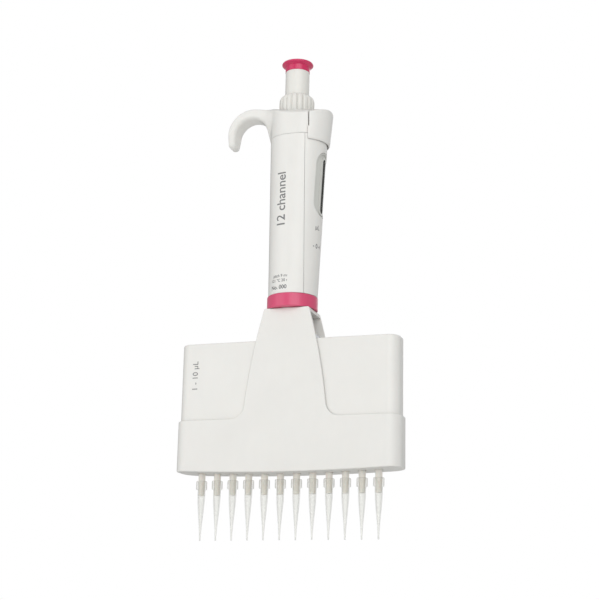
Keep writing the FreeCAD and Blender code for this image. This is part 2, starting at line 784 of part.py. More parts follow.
def make_handle(cavity):
    wall = cut("handle_wall_blank", handle_solid("handle_outer", "0"), cavity)
    seam = block_right("seam_block", "seam_x", "nut_bottom - over", "handle_split + over")
    node("grip_shell", join("grip_shell", cut("grip_wall", wall, seam), spigot("spigot")))

    front = overlap("display_front", wall, seam)
    groove = cut("seam_groove", box("seam_groove_block", ("seam_x", -BIG, "handle_bottom"),
                                    ("seam_x + seam_groove", BIG, "handle_split + over")),
                 handle_solid("seam_groove_floor", "groove_depth"))
    rise = loft("display_rise_outer", stadium("handle_radius_high", "handle_shift_high"),
                stadium("handle_radius_high", "handle_shift_high + shroud_fit"), "handle_split",
                "display_shell_top")
    bore = "handle_radius_high - handle_wall"
    rise_inner = loft("display_rise_inner", stadium(bore, "handle_shift_high"),
                      stadium(bore, "handle_shift_high + shroud_fit"), "handle_split", "display_shell_top")
    rise_wall = overlap("display_rise", cut("display_rise_wall", rise, rise_inner),
                        block_right("rise_block", "collar_end_x + shroud_fit", "handle_split",
                                    "display_shell_top"))
    slot = box("button_slot", ("window_start_x", "-shelf_half_width - window_fit", "slot_bottom"),
               (BIG, "shelf_half_width + window_fit", "display_shell_top + over"))
    node("display_shell", cut("display_shell", join("display_blank", front, rise_wall),
                              window_plug("window_hole", "window_radius"), slot, groove))

    lens_ends = ("lens_low", "lens_high")
    plug = window_plug("bezel_plug", "window_radius - bezel_gap")
    band = cut("bezel_band", handle_solid("bezel_face", "bezel_inset"),
               handle_solid("bezel_back", "bezel_depth"))
    recess = cut("lens_recess", window_plug("recess_plug", "lens_radius", *lens_ends),
                 handle_solid("recess_floor", "bezel_inset + lens_thickness"))
    moat = cut("bezel_moat", window_plug("moat_plug", "moat_outer"),
               window_plug("moat_island", "moat_inner", *lens_ends),
               handle_solid("moat_floor", "moat_depth"))
    shelf_block = box("spring_shelf_block", ("seam_x + turning_fit", "-shelf_half_width",
                                             "shelf_top - shelf_height"),
                                             (BIG, "shelf_half_width", "shelf_top"))
    shelf = overlap("spring_shelf", shelf_block, handle_solid("shelf_form", "moat_depth + window_fit"))
    slotted = cut("bezel_slotted", overlap("bezel_blank", plug, band), recess, moat,
                  window_plug("slot_plug", "slot_radius", *lens_ends))
    node("display_bezel", join("display_bezel", slotted, shelf))
    lens_band = cut("lens_band", handle_solid("lens_face", "bezel_inset"),
                    handle_solid("lens_back", "bezel_inset + lens_thickness - lens_fit / 5"))
    lens_plug = window_plug("lens_plug", "lens_radius - lens_fit", *lens_ends)
    node("window_lens", overlap("window_lens", lens_plug, lens_band))

    node("coupling_nut", lathe("coupling_nut", [
        ("nut_floor_bore", "nut_bottom"), ("nut_radius - nut_low_edge", "nut_bottom"),
        ("nut_radius", "nut_bottom + nut_low_edge"), ("nut_radius", "nut_top - nut_high_edge",
                                                      "nut_high_edge"),
        ("nut_radius - nut_high_edge", "nut_top"), ("nut_bore", "nut_top"),
        ("nut_bore", "nut_bottom + nut_floor"),
        ("nut_floor_bore", "nut_bottom + nut_floor")]))


def make_chassis(cavity):
    tube = lathe("chassis_tube", [
        ("chassis_bore", "chassis_bottom"), ("chassis_outer", "chassis_bottom"),
        ("chassis_outer", "chassis_top"),
        ("chassis_mouth", "chassis_top"), ("chassis_mouth", "washer_top + turning_fit"),
        ("chassis_bore", "washer_top + turning_fit"), ("chassis_bore", "seat_top"),
        ("rod_radius + rod_fit", "seat_top"),
        ("rod_radius + rod_fit", "seat_top - seat_height"), ("chassis_bore", "seat_top - seat_height")])
    bulkheads = []
    for low in ("bulkhead_low", "bulkhead_high"):
        plate = overlap(low + "_plate", cavity, box(low + "_slab", (-BIG, -BIG, low),
                                                    (BIG, BIG, low + " + bulkhead_height")))
        bore = cylinder(low + "_bore", "chassis_bore + turning_fit", (0, 0, low + " - over"), "2 * over")
        channels = fork_channels(low + "_channel", low + " - over", low + " + over")
        bulkheads.append(cut(low + "_cut", plate, bore, *channels))
    node("chassis", join("chassis", tube, *bulkheads))
    node("swivel_bush", ring("swivel_bush", "neck_radius + turning_fit", "bush_outer", "bush_bottom",
                             "bush_top"))


def make_counter(cavity):
    top = "drum_bottom - 4 * drum_fit"
    low = top + " - counter_plate"
    below, above = "drum_bottom - over", "drum_bottom + over"
    slab_block = box("counter_slab", (-BIG, -BIG, low), (BIG, BIG, top))
    bezel_room = cut("bezel_room", block_right("bezel_room_block", 0, below, above),
                     handle_solid("bezel_room_back", "bezel_depth + lens_fit"))
    plate = cut("counter_plate", overlap("counter_plate_blank", cavity, slab_block), bezel_room)
    inner, outer = "drum_bore - drum_fit - counter_wall", "drum_bore - drum_fit"
    sleeve = bind(ring("counter_sleeve", inner, outer, low, "drum_bottom + 3 * drum_pitch"),
                  Placement__Base__x="counter_x")
    hole = cylinder("counter_hole", inner, ("counter_x", 0, below), "2 * over")
    channels = fork_channels("counter_channel", below, above)
    node("counter_frame", join("counter_frame", cut("counter_plate_cut", plate, hole, *channels), sleeve))
    for index, name in enumerate(("tenths", "units", "tens")):
        drum = ring("drum_" + name, "drum_bore", "drum_radius", "drum_bottom + %d * drum_pitch" % index,
                    "drum_bottom + %d * drum_pitch + drum_height" % index)
        node("drum_" + name, bind(drum, Placement__Base__x="counter_x"))


# ---------------------------------------------------------------- top unit

def make_top():
    form = loft("top_form", stadium("top_radius", "top_shift_low"), stadium("top_radius", "top_shift_high"),
                "top_low", "top_high")
    arch = doc.addObject("Part::Cylinder", "top_arch")
    tilt = number("arch_tilt")
    lying = FreeCAD.Rotation(FreeCAD.Vector(0, 1, 0), 90 + tilt)
    arch.Placement = FreeCAD.Placement(FreeCAD.Vector(), lying)
    bind(arch, Radius="arch_radius", Height="2 * arch_reach",
         Placement__Base__x="-arch_reach * cos(arch_tilt)",
         Placement__Base__z="ridge_height - arch_radius / cos(arch_tilt) + arch_reach * sin(arch_tilt)")
    crown = overlap("top_crown", form, arch)
    soft = rounded("top_rounded", crown, "top_edge", is_rim)
    cavity = loft("top_cavity", stadium("handle_radius_high - handle_wall", "handle_shift_high"),
                  stadium("handle_radius_high - handle_wall", "handle_shift_high + 2 * shroud_fit"),
                  "handle_split - over", "roof_bottom")
    collar_block = box("collar_block", (-BIG, -BIG, "handle_split"), ("collar_end_x", BIG, "top_high"))
    collar_form = loft("collar_form", stadium("collar_radius", "handle_shift_high"),
                       stadium("top_radius", "top_shift_high"), "handle_split", "top_high")
    collar = overlap("collar_blank", soft, collar_block, collar_form)
    bush_seat = cylinder("bush_seat", "dial_bush_radius + turning_fit", (0, 0, "roof_bottom - over"),
                         "dial_bush_height + over")
    dial_hole = cylinder("dial_well", "dial_hole", (0, 0, "roof_bottom - over"), "4 * over")
    node("finger_rest", cut("finger_rest", join("collar_with_hook", collar, make_hook()), cavity, bush_seat,
                            dial_hole))
    node("dial_bush", ring("dial_bush", "dial_sleeve + turning_fit", "dial_bush_radius", "roof_bottom",
                           "roof_bottom + dial_bush_height"))

    blocks = join("button_blocks",
                  block_right("button_upper", "collar_end_x + slit_width", "slit_bottom", "top_high"),
                  block_right("button_lower", "collar_end_x + window_fit", "button_bottom",
                              "slit_bottom + window_fit"))
    room = "handle_radius_high + shroud_fit"
    hollow = loft("button_hollow", stadium(room, "handle_shift_high + shroud_fit"),
                  stadium(room, "handle_shift_high + 8 * shroud_fit"), "button_bottom - over",
                  "roof_bottom")
    web_block = box("button_web_block", ("fork_outer + turning_fit / 2", "-web_half_width",
                                         "fork_bridge_low"),
                    (BIG, "web_half_width", "roof_bottom + shroud_fit"))
    web = overlap("button_web", web_block, form)
    skirt = rounded("button_skirt", overlap("button_blank", soft, blocks), "button_edge", is_button_edge)
    shroud = cut("button_shroud", skirt, hollow)
    node("ejector_button", join("ejector_button", shroud, web))


def is_rim(edge):
    """True for the edges where the arched top meets the sides."""
    frame = edge.BoundBox
    return frame.ZMin > number("rim_low") - 2.5 and frame.ZMax > number("rim_low") and frame.XLength > 0.5


def is_button_edge(edge):
    """True for the outer edge round the bottom of the button."""
    frame = edge.BoundBox
    return frame.ZMax < number("button_bottom") + 0.01 and frame.XMax > number("collar_end_x") + 0.2


def make_hook():
    """The finger rest: a flat hook between two arcs with a straight run at its tip, all joined smoothly."""
    inner, tip, foot = "hook_arc_radius", "hook_tip_radius", "handle_split + 0.2"
    outer_x = "hook_outer_x - hook_outer_radius"
    tip_x = outer_x + " + " + tip
    hook = slab("hook_blank", "XZ_Plane", [
        ("hook_root_x", foot), ("hook_root_x", "hook_root_top"),
        ("hook_outer_x", "hook_top", "hook_outer_radius"), (outer_x, "hook_top - hook_outer_radius"),
        (outer_x, "hook_tip_z", tip), (tip_x, "hook_tip_z - " + tip, tip),
        ("%s + %s * cos(hook_lean)" % (tip_x, tip), "hook_tip_z - %s * sin(hook_lean)" % tip),
        ("hook_arc_x - %s * cos(hook_lean)" % inner, "hook_arc_z + %s * sin(hook_lean)" % inner,
         "-" + inner),
        ("hook_arc_x", "hook_arc_z + " + inner, "-" + inner),
        ("hook_arc_x + " + inner, "hook_arc_z"), ("hook_foot_x", foot)], "2 * hook_half_width")
    return rounded("hook_rounded", hook, "hook_edge", is_hook_edge)


def is_hook_edge(edge):
    """True for the edges of the hook's two flat sides, apart from those inside the collar."""
    frame = edge.BoundBox
    at_root = frame.XMin > number("hook_root_x") - 0.1 or frame.ZMax < number("handle_split") + 0.3
    return frame.YLength < 0.01 and not at_root


# ---------------------------------------------------------------- dial and plunger

def make_dial():
    bore = "tube_radius + tube_fit"
    dial = lathe("dial_turned", [
        ("dial_sleeve_bore", "dial_sleeve_bottom"), ("dial_sleeve", "dial_sleeve_bottom"),
        ("dial_sleeve", "dial_bottom"), ("dial_radius", "dial_bottom"),
        ("dial_radius", "dial_side_top", "dial_side_curve"), ("dial_rim_radius", "dial_rim"),
        ("dial_face_radius", "dial_face"), (bore, "dial_face"), (bore, "dial_ceiling"),
        ("dial_sleeve_bore", "dial_ceiling")])
    spots = [("flute_circle * cos(%d * 360 / dial_flutes)" % index,
              "flute_circle * sin(%d * 360 / dial_flutes)" % index)
             for index in range(int(number("dial_flutes")))]
    flutes = [cylinder("dial_flute", "flute_radius", (x, y, "dial_bottom - over"), "4 * over") for x,
              y in spots]
    above = ring("above_sleeve", "dial_sleeve", "2 * dial_radius", "dial_bottom", "dial_bottom + 4 * over")
    grooves = overlap("dial_grooves", join("dial_flute_set", *flutes), above)
    node("volume_dial", cut("volume_dial", dial, grooves))
    node("stop_nut", ring("stop_nut", "tube_radius + 2 * tube_fit", "dial_sleeve_bore - guide_fit",
                          "stop_bottom",
                          "stop_top"))


def make_plunger():
    node("plunger_tube", ring("plunger_tube", "tube_bore", "tube_radius", "tube_bottom", "cap_bottom"))
    node("push_cap", lathe("push_cap", [
        ("0", "cap_plug_bottom"), ("cap_plug_radius", "cap_plug_bottom"), ("cap_plug_radius", "cap_bottom"),
        ("cap_collar_radius", "cap_bottom"), ("cap_collar_radius", "cap_top - cap_under"),
        ("cap_radius - cap_round", "cap_top - cap_rim_low - cap_round"),
        ("cap_radius", "cap_top - cap_rim_low"),
        ("cap_radius", "cap_top - cap_rim_high"), ("cap_radius - cap_round", "cap_top - cap_round"),
        ("0", "cap_top")]))
    node("plunger_rod", lathe("plunger_rod", [
        ("0", "rod_foot"), ("rod_radius", "rod_foot"), ("rod_radius", "shoulder_bottom"),
        ("shoulder_radius", "shoulder_bottom"), ("shoulder_radius", "shoulder_bottom + shoulder_height"),
        ("rod_radius", "shoulder_bottom + shoulder_height"), ("rod_radius", "cap_plug_bottom"),
        ("0", "cap_plug_bottom")]))
    node("plunger_spring", ring("plunger_spring", "spring_bore", "spring_radius", "seat_top",
                                "shoulder_bottom"))
    node("blowout_washer", ring("blowout_washer", "washer_bore", "washer_radius", "washer_bottom",
                                "washer_top"))
    node("blowout_spring", ring("blowout_spring", "blowout_bore", "blowout_radius", "seat_top",
                                "washer_bottom"))


# ---------------------------------------------------------------- ejector fork

def make_fork():
    foot = lathe("fork_foot", [
        ("fork_bore", "fork_ring_bottom"), ("fork_ring_radius", "fork_ring_bottom"),
        ("fork_ring_radius", "fork_flange_bottom"), ("fork_outer", "fork_flange_bottom"),
        ("fork_outer", "fork_flange_top"), ("fork_bore", "fork_flange_top")])
    leg = fork_sector("fork_leg", "fork_inner", "fork_outer", "fork_flange_bottom", "fork_bridge_high",
                      "leg_start",
                      "leg_stop")
    bridge = fork_sector("fork_bridge", "fork_inner", "fork_outer", "fork_bridge_low", "fork_bridge_high",
                         "-leg_stop", "leg_stop")
    node("ejector_fork", join("ejector_fork", foot, leg, mirror("fork_leg_back", leg), bridge))
    spring = ring("ejector_spring", "ejector_spring_bore", "ejector_spring_radius", "shelf_top",
                  "fork_bridge_low")
    node("ejector_spring", bind(spring, Placement__Base__x="ejector_spring_x"))


# ---------------------------------------------------------------- the whole pipette

make_tips()
make_nozzles()
make_manifold()
make_pistons()
make_neck()
make_hood()
handle_cavity = handle_solid("handle_cavity", "handle_wall")
make_handle(handle_cavity)
make_chassis(handle_cavity)
make_counter(handle_cavity)
make_top()
make_dial()
make_plunger()
make_fork()
doc.recompute()

failed = [item.Label for item in doc.Objects if "Invalid" in item.State or "Error" in item.State]
if failed:
    raise RuntimeError("these objects failed: " + ", ".join(failed))
for item in nodes:
    if item.Shape.isNull() or not item.Shape.isValid() or not item.Shape.Solids:
        raise RuntimeError("no valid solid in " + item.Label)

os.makedirs("parts", exist_ok=True)
for item in nodes:
    item.Shape.exportStep("parts/%s.step" % item.Label)
print("%d nodes" % len(nodes))
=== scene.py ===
"""Looks of a twelve-channel pipette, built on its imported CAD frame.

Metres, +Z up. X runs along the manifold, the finger rest points to -X and the front faces -Y.
"""
import json
import math

import bmesh
import bpy
import numpy as np
from mathutils import Matrix, Vector


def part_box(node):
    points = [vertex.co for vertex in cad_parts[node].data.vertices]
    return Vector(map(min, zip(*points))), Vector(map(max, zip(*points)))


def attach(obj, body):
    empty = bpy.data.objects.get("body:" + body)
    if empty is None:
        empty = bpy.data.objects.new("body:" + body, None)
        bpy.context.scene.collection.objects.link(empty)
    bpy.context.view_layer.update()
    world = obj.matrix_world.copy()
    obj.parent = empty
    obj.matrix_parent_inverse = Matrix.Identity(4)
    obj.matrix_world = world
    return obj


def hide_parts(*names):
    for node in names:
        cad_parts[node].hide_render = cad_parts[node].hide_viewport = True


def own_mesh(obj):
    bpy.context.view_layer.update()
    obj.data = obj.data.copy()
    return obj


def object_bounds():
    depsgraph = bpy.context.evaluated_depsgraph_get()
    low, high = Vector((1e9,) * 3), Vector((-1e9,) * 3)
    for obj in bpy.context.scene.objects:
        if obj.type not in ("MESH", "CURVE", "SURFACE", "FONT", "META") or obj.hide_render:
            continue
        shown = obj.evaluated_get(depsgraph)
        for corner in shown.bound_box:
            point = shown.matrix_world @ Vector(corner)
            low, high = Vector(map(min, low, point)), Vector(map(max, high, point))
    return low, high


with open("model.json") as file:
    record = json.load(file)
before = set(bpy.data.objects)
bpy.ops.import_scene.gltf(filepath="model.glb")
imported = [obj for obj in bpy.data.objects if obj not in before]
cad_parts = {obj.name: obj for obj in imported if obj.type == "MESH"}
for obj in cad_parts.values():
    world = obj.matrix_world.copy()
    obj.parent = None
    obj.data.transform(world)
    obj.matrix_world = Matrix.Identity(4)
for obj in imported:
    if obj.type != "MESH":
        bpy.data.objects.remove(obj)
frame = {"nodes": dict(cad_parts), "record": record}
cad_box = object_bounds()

MM = 0.001
NODES = frame["nodes"]
BODY_OF = {name: body for body, names in frame["record"]["behaviour"]["bodies"].items() for name in names}
CHANNELS = 12


# ---------------------------------------------------------------- shader building

def add(tree, kind, sockets=None, **settings):
    """A shader node with its settings; each named input takes a value or another node's output."""
    made = tree.nodes.new(kind)
    for key, value in settings.items():
        setattr(made, key, value)
    for key, value in (sockets or {}).items():
        if isinstance(value, bpy.types.NodeSocket):
            tree.links.new(value, made.inputs[key])
        else:
            made.inputs[key].default_value = value
    return made


def new_tree(name):
    """A node material that holds only its output, and its tree."""
    material = bpy.data.materials.new(name)
    material.use_nodes = True
    tree = material.node_tree
    tree.nodes.clear()
    return material, tree


def place(tree, stretch=(1, 1, 1)):
    """The object's own coordinates in metres, stretched per axis."""
    where = add(tree, "ShaderNodeTexCoord")
    made = add(tree, "ShaderNodeMapping", {"Vector": where.outputs["Object"], "Scale": stretch})
    return made.outputs["Vector"]


def noise(tree, vector, size, detail=2.0, roughness=0.5):
    """Noise whose blobs are about size metres across."""
    made = add(tree, "ShaderNodeTexNoise", {"Vector": vector, "Scale": 1 / size, "Detail": detail,
                                            "Roughness": roughness})
    return made.outputs["Fac"]


def spread(tree, value, low, high, source=(0.3, 0.7)):
    """The value mapped from the source range to low..high."""
    return add(tree, "ShaderNodeMapRange", {"Value": value, "From Min": source[0], "From Max": source[1],
                                            "To Min": low, "To Max": high}).outputs["Result"]


def blend_colour(tree, factor, first, second):
    """The first colour turning into the second as the factor goes from 0 to 1."""
    made = add(tree, "ShaderNodeMix", data_type="RGBA")
    for index, value in ((0, factor), (6, first), (7, second)):
        if isinstance(value, bpy.types.NodeSocket):
            tree.links.new(value, made.inputs[index])
        else:
            made.inputs[index].default_value = value
    return made.outputs[2]


def tint(colour, gain):
    """The colour made lighter or darker, as four numbers."""
    return tuple(min(1.0, part * gain) for part in colour) + (1.0,)


def bumps(tree, layers, edge=0.0):
    """A normal from several height maps, each (height, depth in metres), over softened edges."""
    normal = None
    if edge:
        normal = add(tree, "ShaderNodeBevel", {"Radius": edge}, samples=4).outputs["Normal"]
    for height, depth in layers:
        sockets = {"Height": height, "Distance": depth, "Strength": 1.0}
        if normal is not None:
            sockets["Normal"] = normal
        normal = add(tree, "ShaderNodeBump", sockets).outputs["Normal"]
    return normal


def finish_material(tree, shader):
    """Join the shader to the material's output."""
    output = add(tree, "ShaderNodeOutputMaterial")
    tree.links.new(shader, output.inputs["Surface"])


# ---------------------------------------------------------------- materials

RING_SCALE = 6.3                              # with it, a wave texture's bands stand about two rings apart
TIP_WALL_POWER = 2.5                          # how closely the milky haze keeps to the tip's edges
TIP_MILK = (0.03, 0.42)                       # share of haze, facing and edge on
TIP_SHINE = (0.03, 0.16)
LENS_RIM_POWER = 5.0
LENS_SHINE = (0.04, 0.30)
RIM_POWER = 6.0
CREASE_SHADE_REACH = 0.9 * MM                       # painted shade: seams and grooves darken within this distance
PAINTED_SHADE_COLOUR = (0.22, 0.21, 0.19)               # painted shade: what pale plastic is darkened to where it is seen edge on, and at half brightness in creases


def moulded(name, colour, roughness, grain=0.35 * MM, depth=0.003 * MM, variation=0.02, coat=0.0,
            subsurface=0.0, edge=0.15 * MM, rim=0.0, crease_shade=0.5):
    """Injection-moulded plastic: fine grain and faint flow clouds, with painted shade in creases and at
    grazing rims and a painted highlight on sharp convex edges.
    """
    material, tree = new_tree(name)
    at = place(tree)
    clouds = noise(tree, at, 26 * MM, 3.0, 0.6)
    flow = noise(tree, place(tree, (1, 1, 0.25)), 5 * MM, 4.0, 0.6)
    fine = noise(tree, at, grain, 3.0, 0.7)
    peel = noise(tree, at, 2.2 * MM, 1.0)
    base = blend_colour(tree, spread(tree, clouds, 0, 1),
                        tint(colour, 1 - variation), tint(colour, 1 + variation))
    base = blend_colour(tree, spread(tree, flow, 0, 0.35), base, tint(colour, 1 - 1.5 * variation))
    # painted highlight: sharp convex edges made lighter
    edges = add(tree, "ShaderNodeNewGeometry").outputs["Pointiness"]
    base = blend_colour(tree, spread(tree, edges, 0, 0.5, (0.52, 0.62)),
                        base, tint(colour, 1 + 2 * variation))
    # painted shade in seams, grooves and recesses: darker where other surfaces lie close, by ambient
    # occlusion
    if crease_shade:
        shade_in_creases = add(tree, "ShaderNodeAmbientOcclusion", {"Distance": CREASE_SHADE_REACH}, samples=6)
        base = blend_colour(tree, spread(tree, shade_in_creases.outputs["AO"], crease_shade, 0, (0.15, 0.75)),
                            base, tint(PAINTED_SHADE_COLOUR, 0.5))
    # painted shade towards the silhouette, where the surface is seen edge on
    if rim:
        facing = add(tree, "ShaderNodeLayerWeight", {"Blend": 0.5}).outputs["Facing"]
        grazing = add(tree, "ShaderNodeMath", {0: facing, 1: RIM_POWER}, operation="POWER").outputs[0]
        base = blend_colour(tree, spread(tree, grazing, 0, rim, (0, 1)), base, tint(PAINTED_SHADE_COLOUR, 1.0))
    sheen = spread(tree, fine, roughness - 0.04, roughness + 0.05)
    shader = add(tree, "ShaderNodeBsdfPrincipled", {
        "Base Color": base, "Roughness": sheen, "IOR": 1.5, "Coat Weight": coat, "Coat Roughness": 0.18,
        "Subsurface Weight": subsurface, "Subsurface Radius": (1.0, 0.8, 0.7), "Subsurface Scale": 1.2 * MM,
        "Normal": bumps(tree, [(fine, depth), (peel, 0.5 * depth)], edge)})
    finish_material(tree, shader.outputs["BSDF"])
    return material


def turned_metal(name, colour, roughness, ring=0.12 * MM, depth=0.002 * MM, along=(1, 1, 1)):
    """Machined metal: fine tool rings, dull patches and slightly brighter edges."""
    material, tree = new_tree(name)
    at = place(tree, along)
    rings = add(tree, "ShaderNodeTexWave",
                {"Vector": at, "Scale": 1 / ring / RING_SCALE, "Distortion": 1.5, "Detail": 2.0},
                wave_type="BANDS", bands_direction="Z").outputs["Fac"]
    patches = noise(tree, at, 4 * MM, 4.0, 0.6)
    scratches = noise(tree, place(tree, (1, 1, 0.06)), 0.3 * MM, 2.0)
    base = blend_colour(tree, spread(tree, patches, 0, 1), tint(colour, 0.9), tint(colour, 1.08))
    shader = add(tree, "ShaderNodeBsdfPrincipled", {
        "Base Color": base, "Metallic": 1.0,
        "Roughness": spread(tree, patches, roughness - 0.06, roughness + 0.08),
        "Normal": bumps(tree, [(rings, depth), (scratches, depth)], 0.08 * MM)})
    finish_material(tree, shader.outputs["BSDF"])
    return material


def rubber(name, colour):
    """Matte elastomer with a dusty bloom."""
    material, tree = new_tree(name)
    at = place(tree)
    bloom = noise(tree, at, 3 * MM, 5.0, 0.7)
    pores = noise(tree, at, 0.2 * MM, 2.0)
    base = blend_colour(tree, spread(tree, bloom, 0, 1), tint(colour, 0.8), tint(colour, 1.8))
    shader = add(tree, "ShaderNodeBsdfPrincipled", {
        "Base Color": base, "Roughness": spread(tree, bloom, 0.7, 0.9),
        "Normal": bumps(tree, [(pores, 0.01 * MM)], 0.1 * MM)})
    finish_material(tree, shader.outputs["BSDF"])
    return material


def clear_tip(name, colour):
    """Natural polypropylene: a thin clear wall whose milky haze gathers where it is seen edge on."""
    material, tree = new_tree(name)
    at = place(tree, (1, 1, 0.2))
    draw_lines = noise(tree, at, 0.5 * MM, 3.0)
    haze = noise(tree, place(tree), 1.5 * MM, 3.0, 0.6)
    normal = bumps(tree, [(draw_lines, 0.004 * MM)])
    through = add(tree, "ShaderNodeBsdfTransparent", {"Color": tint(colour, 1.0)})
    milk = add(tree, "ShaderNodeBsdfPrincipled", {
        "Base Color": tint(colour, 0.90), "Roughness": spread(tree, haze, 0.22, 0.36), "Normal": normal})
    gloss = add(tree, "ShaderNodeBsdfGlossy", {"Roughness": 0.08, "Normal": normal})
    facing = add(tree, "ShaderNodeLayerWeight", {"Blend": 0.5, "Normal": normal}).outputs["Facing"]
    wall = add(tree, "ShaderNodeMath", {0: facing, 1: TIP_WALL_POWER}, operation="POWER").outputs[0]
    share = spread(tree, wall, *TIP_MILK, (0, 1))
    body = add(tree, "ShaderNodeMixShader", {0: share, 1: through.outputs["BSDF"], 2: milk.outputs["BSDF"]})
    shine = spread(tree, facing, *TIP_SHINE, (0, 1))
    mixed = add(tree, "ShaderNodeMixShader",
                {0: shine, 1: body.outputs["Shader"], 2: gloss.outputs["BSDF"]})
    finish_material(tree, mixed.outputs["Shader"])
    return material


def clear_lens(name, colour):
    """Smoked acrylic before the counter: see-through, glossy at grazing angles, with faint wipe marks."""
    material, tree = new_tree(name)
    wipes = noise(tree, place(tree, (1, 1, 0.2)), 3 * MM, 4.0, 0.6)
    through = add(tree, "ShaderNodeBsdfTransparent", {"Color": tint(colour, 1.0)})
    gloss = add(tree, "ShaderNodeBsdfGlossy", {"Roughness": spread(tree, wipes, 0.05, 0.14)})
    facing = add(tree, "ShaderNodeLayerWeight", {"Blend": 0.5}).outputs["Facing"]
    rim = add(tree, "ShaderNodeMath", {0: facing, 1: LENS_RIM_POWER}, operation="POWER").outputs[0]
    share = spread(tree, rim, *LENS_SHINE, (0, 1))
    mixed = add(tree, "ShaderNodeMixShader",
                {0: share, 1: through.outputs["BSDF"], 2: gloss.outputs["BSDF"]})
    finish_material(tree, mixed.outputs["Shader"])
    return material


def ink(name, colour):
    """Pad-printed ink: a thin, slightly uneven film."""
    material, tree = new_tree(name)
    at = place(tree)
    cover = noise(tree, at, 0.25 * MM, 3.0, 0.7)
    base = blend_colour(tree, spread(tree, cover, 0, 1), tint(colour, 0.85), tint(colour, 1.2))
    shader = add(tree, "ShaderNodeBsdfPrincipled", {
        "Base Color": base, "Roughness": spread(tree, cover, 0.4, 0.55),
        "Normal": bumps(tree, [(cover, 0.002 * MM)])})
    finish_material(tree, shader.outputs["BSDF"])
    return material


def make_materials():
    """Every material of the object, by the name of its slot or of its ink."""
    return {
        "body_white": moulded("moulded_white", (0.86, 0.845, 0.81), 0.42, subsurface=0.08, rim=0.75),
        "dial_white": moulded("moulded_dial", (0.82, 0.805, 0.76), 0.38, grain=0.25 * MM, subsurface=0.08,
                              rim=0.75),
        "cap_pink": moulded("cap_pink", (0.67, 0.024, 0.12), 0.30, coat=0.25, variation=0.05),
        "ring_pink": moulded("ring_pink", (0.72, 0.082, 0.185), 0.34, coat=0.2, variation=0.04),
        "stem_ivory": moulded("stem_ivory", (0.90, 0.86, 0.80), 0.40, grain=0.2 * MM, subsurface=0.25,
                              crease_shade=0),
        "tip_clear": clear_tip("tip_clear", (0.97, 0.97, 0.96)),
        "bezel_grey": moulded("bezel_grey", (0.68, 0.68, 0.64), 0.35, grain=0.3 * MM, rim=0.4),
        "lens_smoke": clear_lens("lens_smoke", (0.50, 0.50, 0.48)),
        "drum_black": moulded("drum_black", (0.012, 0.012, 0.013), 0.45, grain=0.2 * MM, variation=0.15),
        "inner_grey": moulded("filled_grey", (0.16, 0.165, 0.17), 0.55, depth=0.008 * MM, variation=0.08),
        "inner_acetal": moulded("acetal", (0.75, 0.75, 0.71), 0.3, subsurface=0.2),
        "steel": turned_metal("steel", (0.60, 0.60, 0.62), 0.25),
        "spring_steel": turned_metal("spring_steel", (0.48, 0.48, 0.50), 0.3, ring=0.3 * MM),
        "brass": turned_metal("brass", (0.70, 0.50, 0.22), 0.28, ring=0.35 * MM, depth=0.006 * MM),
        "seal_rubber": rubber("seal_rubber", (0.02, 0.02, 0.022)),
        "ink_grey": ink("ink_grey", (0.20, 0.20, 0.20)),
        "ink_white": ink("ink_white", (0.80, 0.80, 0.78)),
    }


def dress(piece, material):
    """Give an object one material."""
    if not piece.material_slots:
        piece.data.materials.append(material)
    for holder in piece.material_slots:
        holder.material = material


# ---------------------------------------------------------------- mesh building

def new_piece(name, mesh_builder, body, slot, material=None, smooth=True):
    """An object from a bmesh, with its material, riding on a body."""
    mesh = bpy.data.meshes.new(name)
    bmesh.ops.recalc_face_normals(mesh_builder, faces=mesh_builder.faces)
    mesh_builder.to_mesh(mesh)
    mesh_builder.free()
    if smooth:
        mesh.shade_smooth()
    piece = bpy.data.objects.new(name, mesh)
    bpy.context.scene.collection.objects.link(piece)
    dress(piece, MATERIALS[material or slot])
    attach(piece, body)
    return piece


def sweep(build, points, frames, radius, sides=10):
    """A closed tube along points, each with its two cross directions, with capped ends."""
    rings = []
    for point, (across, upward) in zip(points, frames):
        rings.append([build.verts.new(point + radius * (math.cos(turn) * across + math.sin(turn) * upward))
                      for turn in (2 * math.pi * side / sides for side in range(sides))])
    for first, second in zip(rings, rings[1:]):
        for side in range(sides):
            after = (side + 1) % sides
            build.faces.new((first[side], first[after], second[after], second[side]))
    build.faces.new(list(reversed(rings[0])))
    build.faces.new(rings[-1])


COIL_STEPS = 28                               # points per turn


def add_coil(build, centre, low, high, outer, wire, turns):
    """A compression spring about a vertical axis, with one flat turn at each end."""
    mean = outer - wire / 2
    count = int((turns + 2) * COIL_STEPS)
    points, frames = [], []
    for index in range(count + 1):
        turned = index / COIL_STEPS
        lift = min(max((turned - 1) / turns, 0), 1)
        flat = wire * (0.5 + min(turned, 1) * 0.5)
        flat_top = wire * (0.5 + min(turns + 2 - turned, 1) * 0.5)
        height = low + flat + lift * (high - low - flat - flat_top)
        angle = 2 * math.pi * turned
        outward = Vector((math.cos(angle), math.sin(angle), 0))
        points.append(Vector((centre.x, centre.y, height)) + mean * outward)
        frames.append((outward, Vector((0, 0, 1))))
    sweep(build, points, frames, wire / 2)


BAR_SPRING_RADIUS = 2.1 * MM


def spring(node, wire, turns, spots=None):
    """Coils in the place of a CAD spring, flattening towards their lower end as the joint moves."""
    low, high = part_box(node)
    spots = spots or [(low + high) / 2]
    outer = (high.x - low.x) / 2 if len(spots) == 1 else BAR_SPRING_RADIUS
    build = bmesh.new()
    for spot in spots:
        add_coil(build, spot, low.z, high.z, outer, wire, turns)
    piece = new_piece(node + "_coil", build, BODY_OF[node], "spring_steel")
    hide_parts(node)
    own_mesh(piece)
    return piece


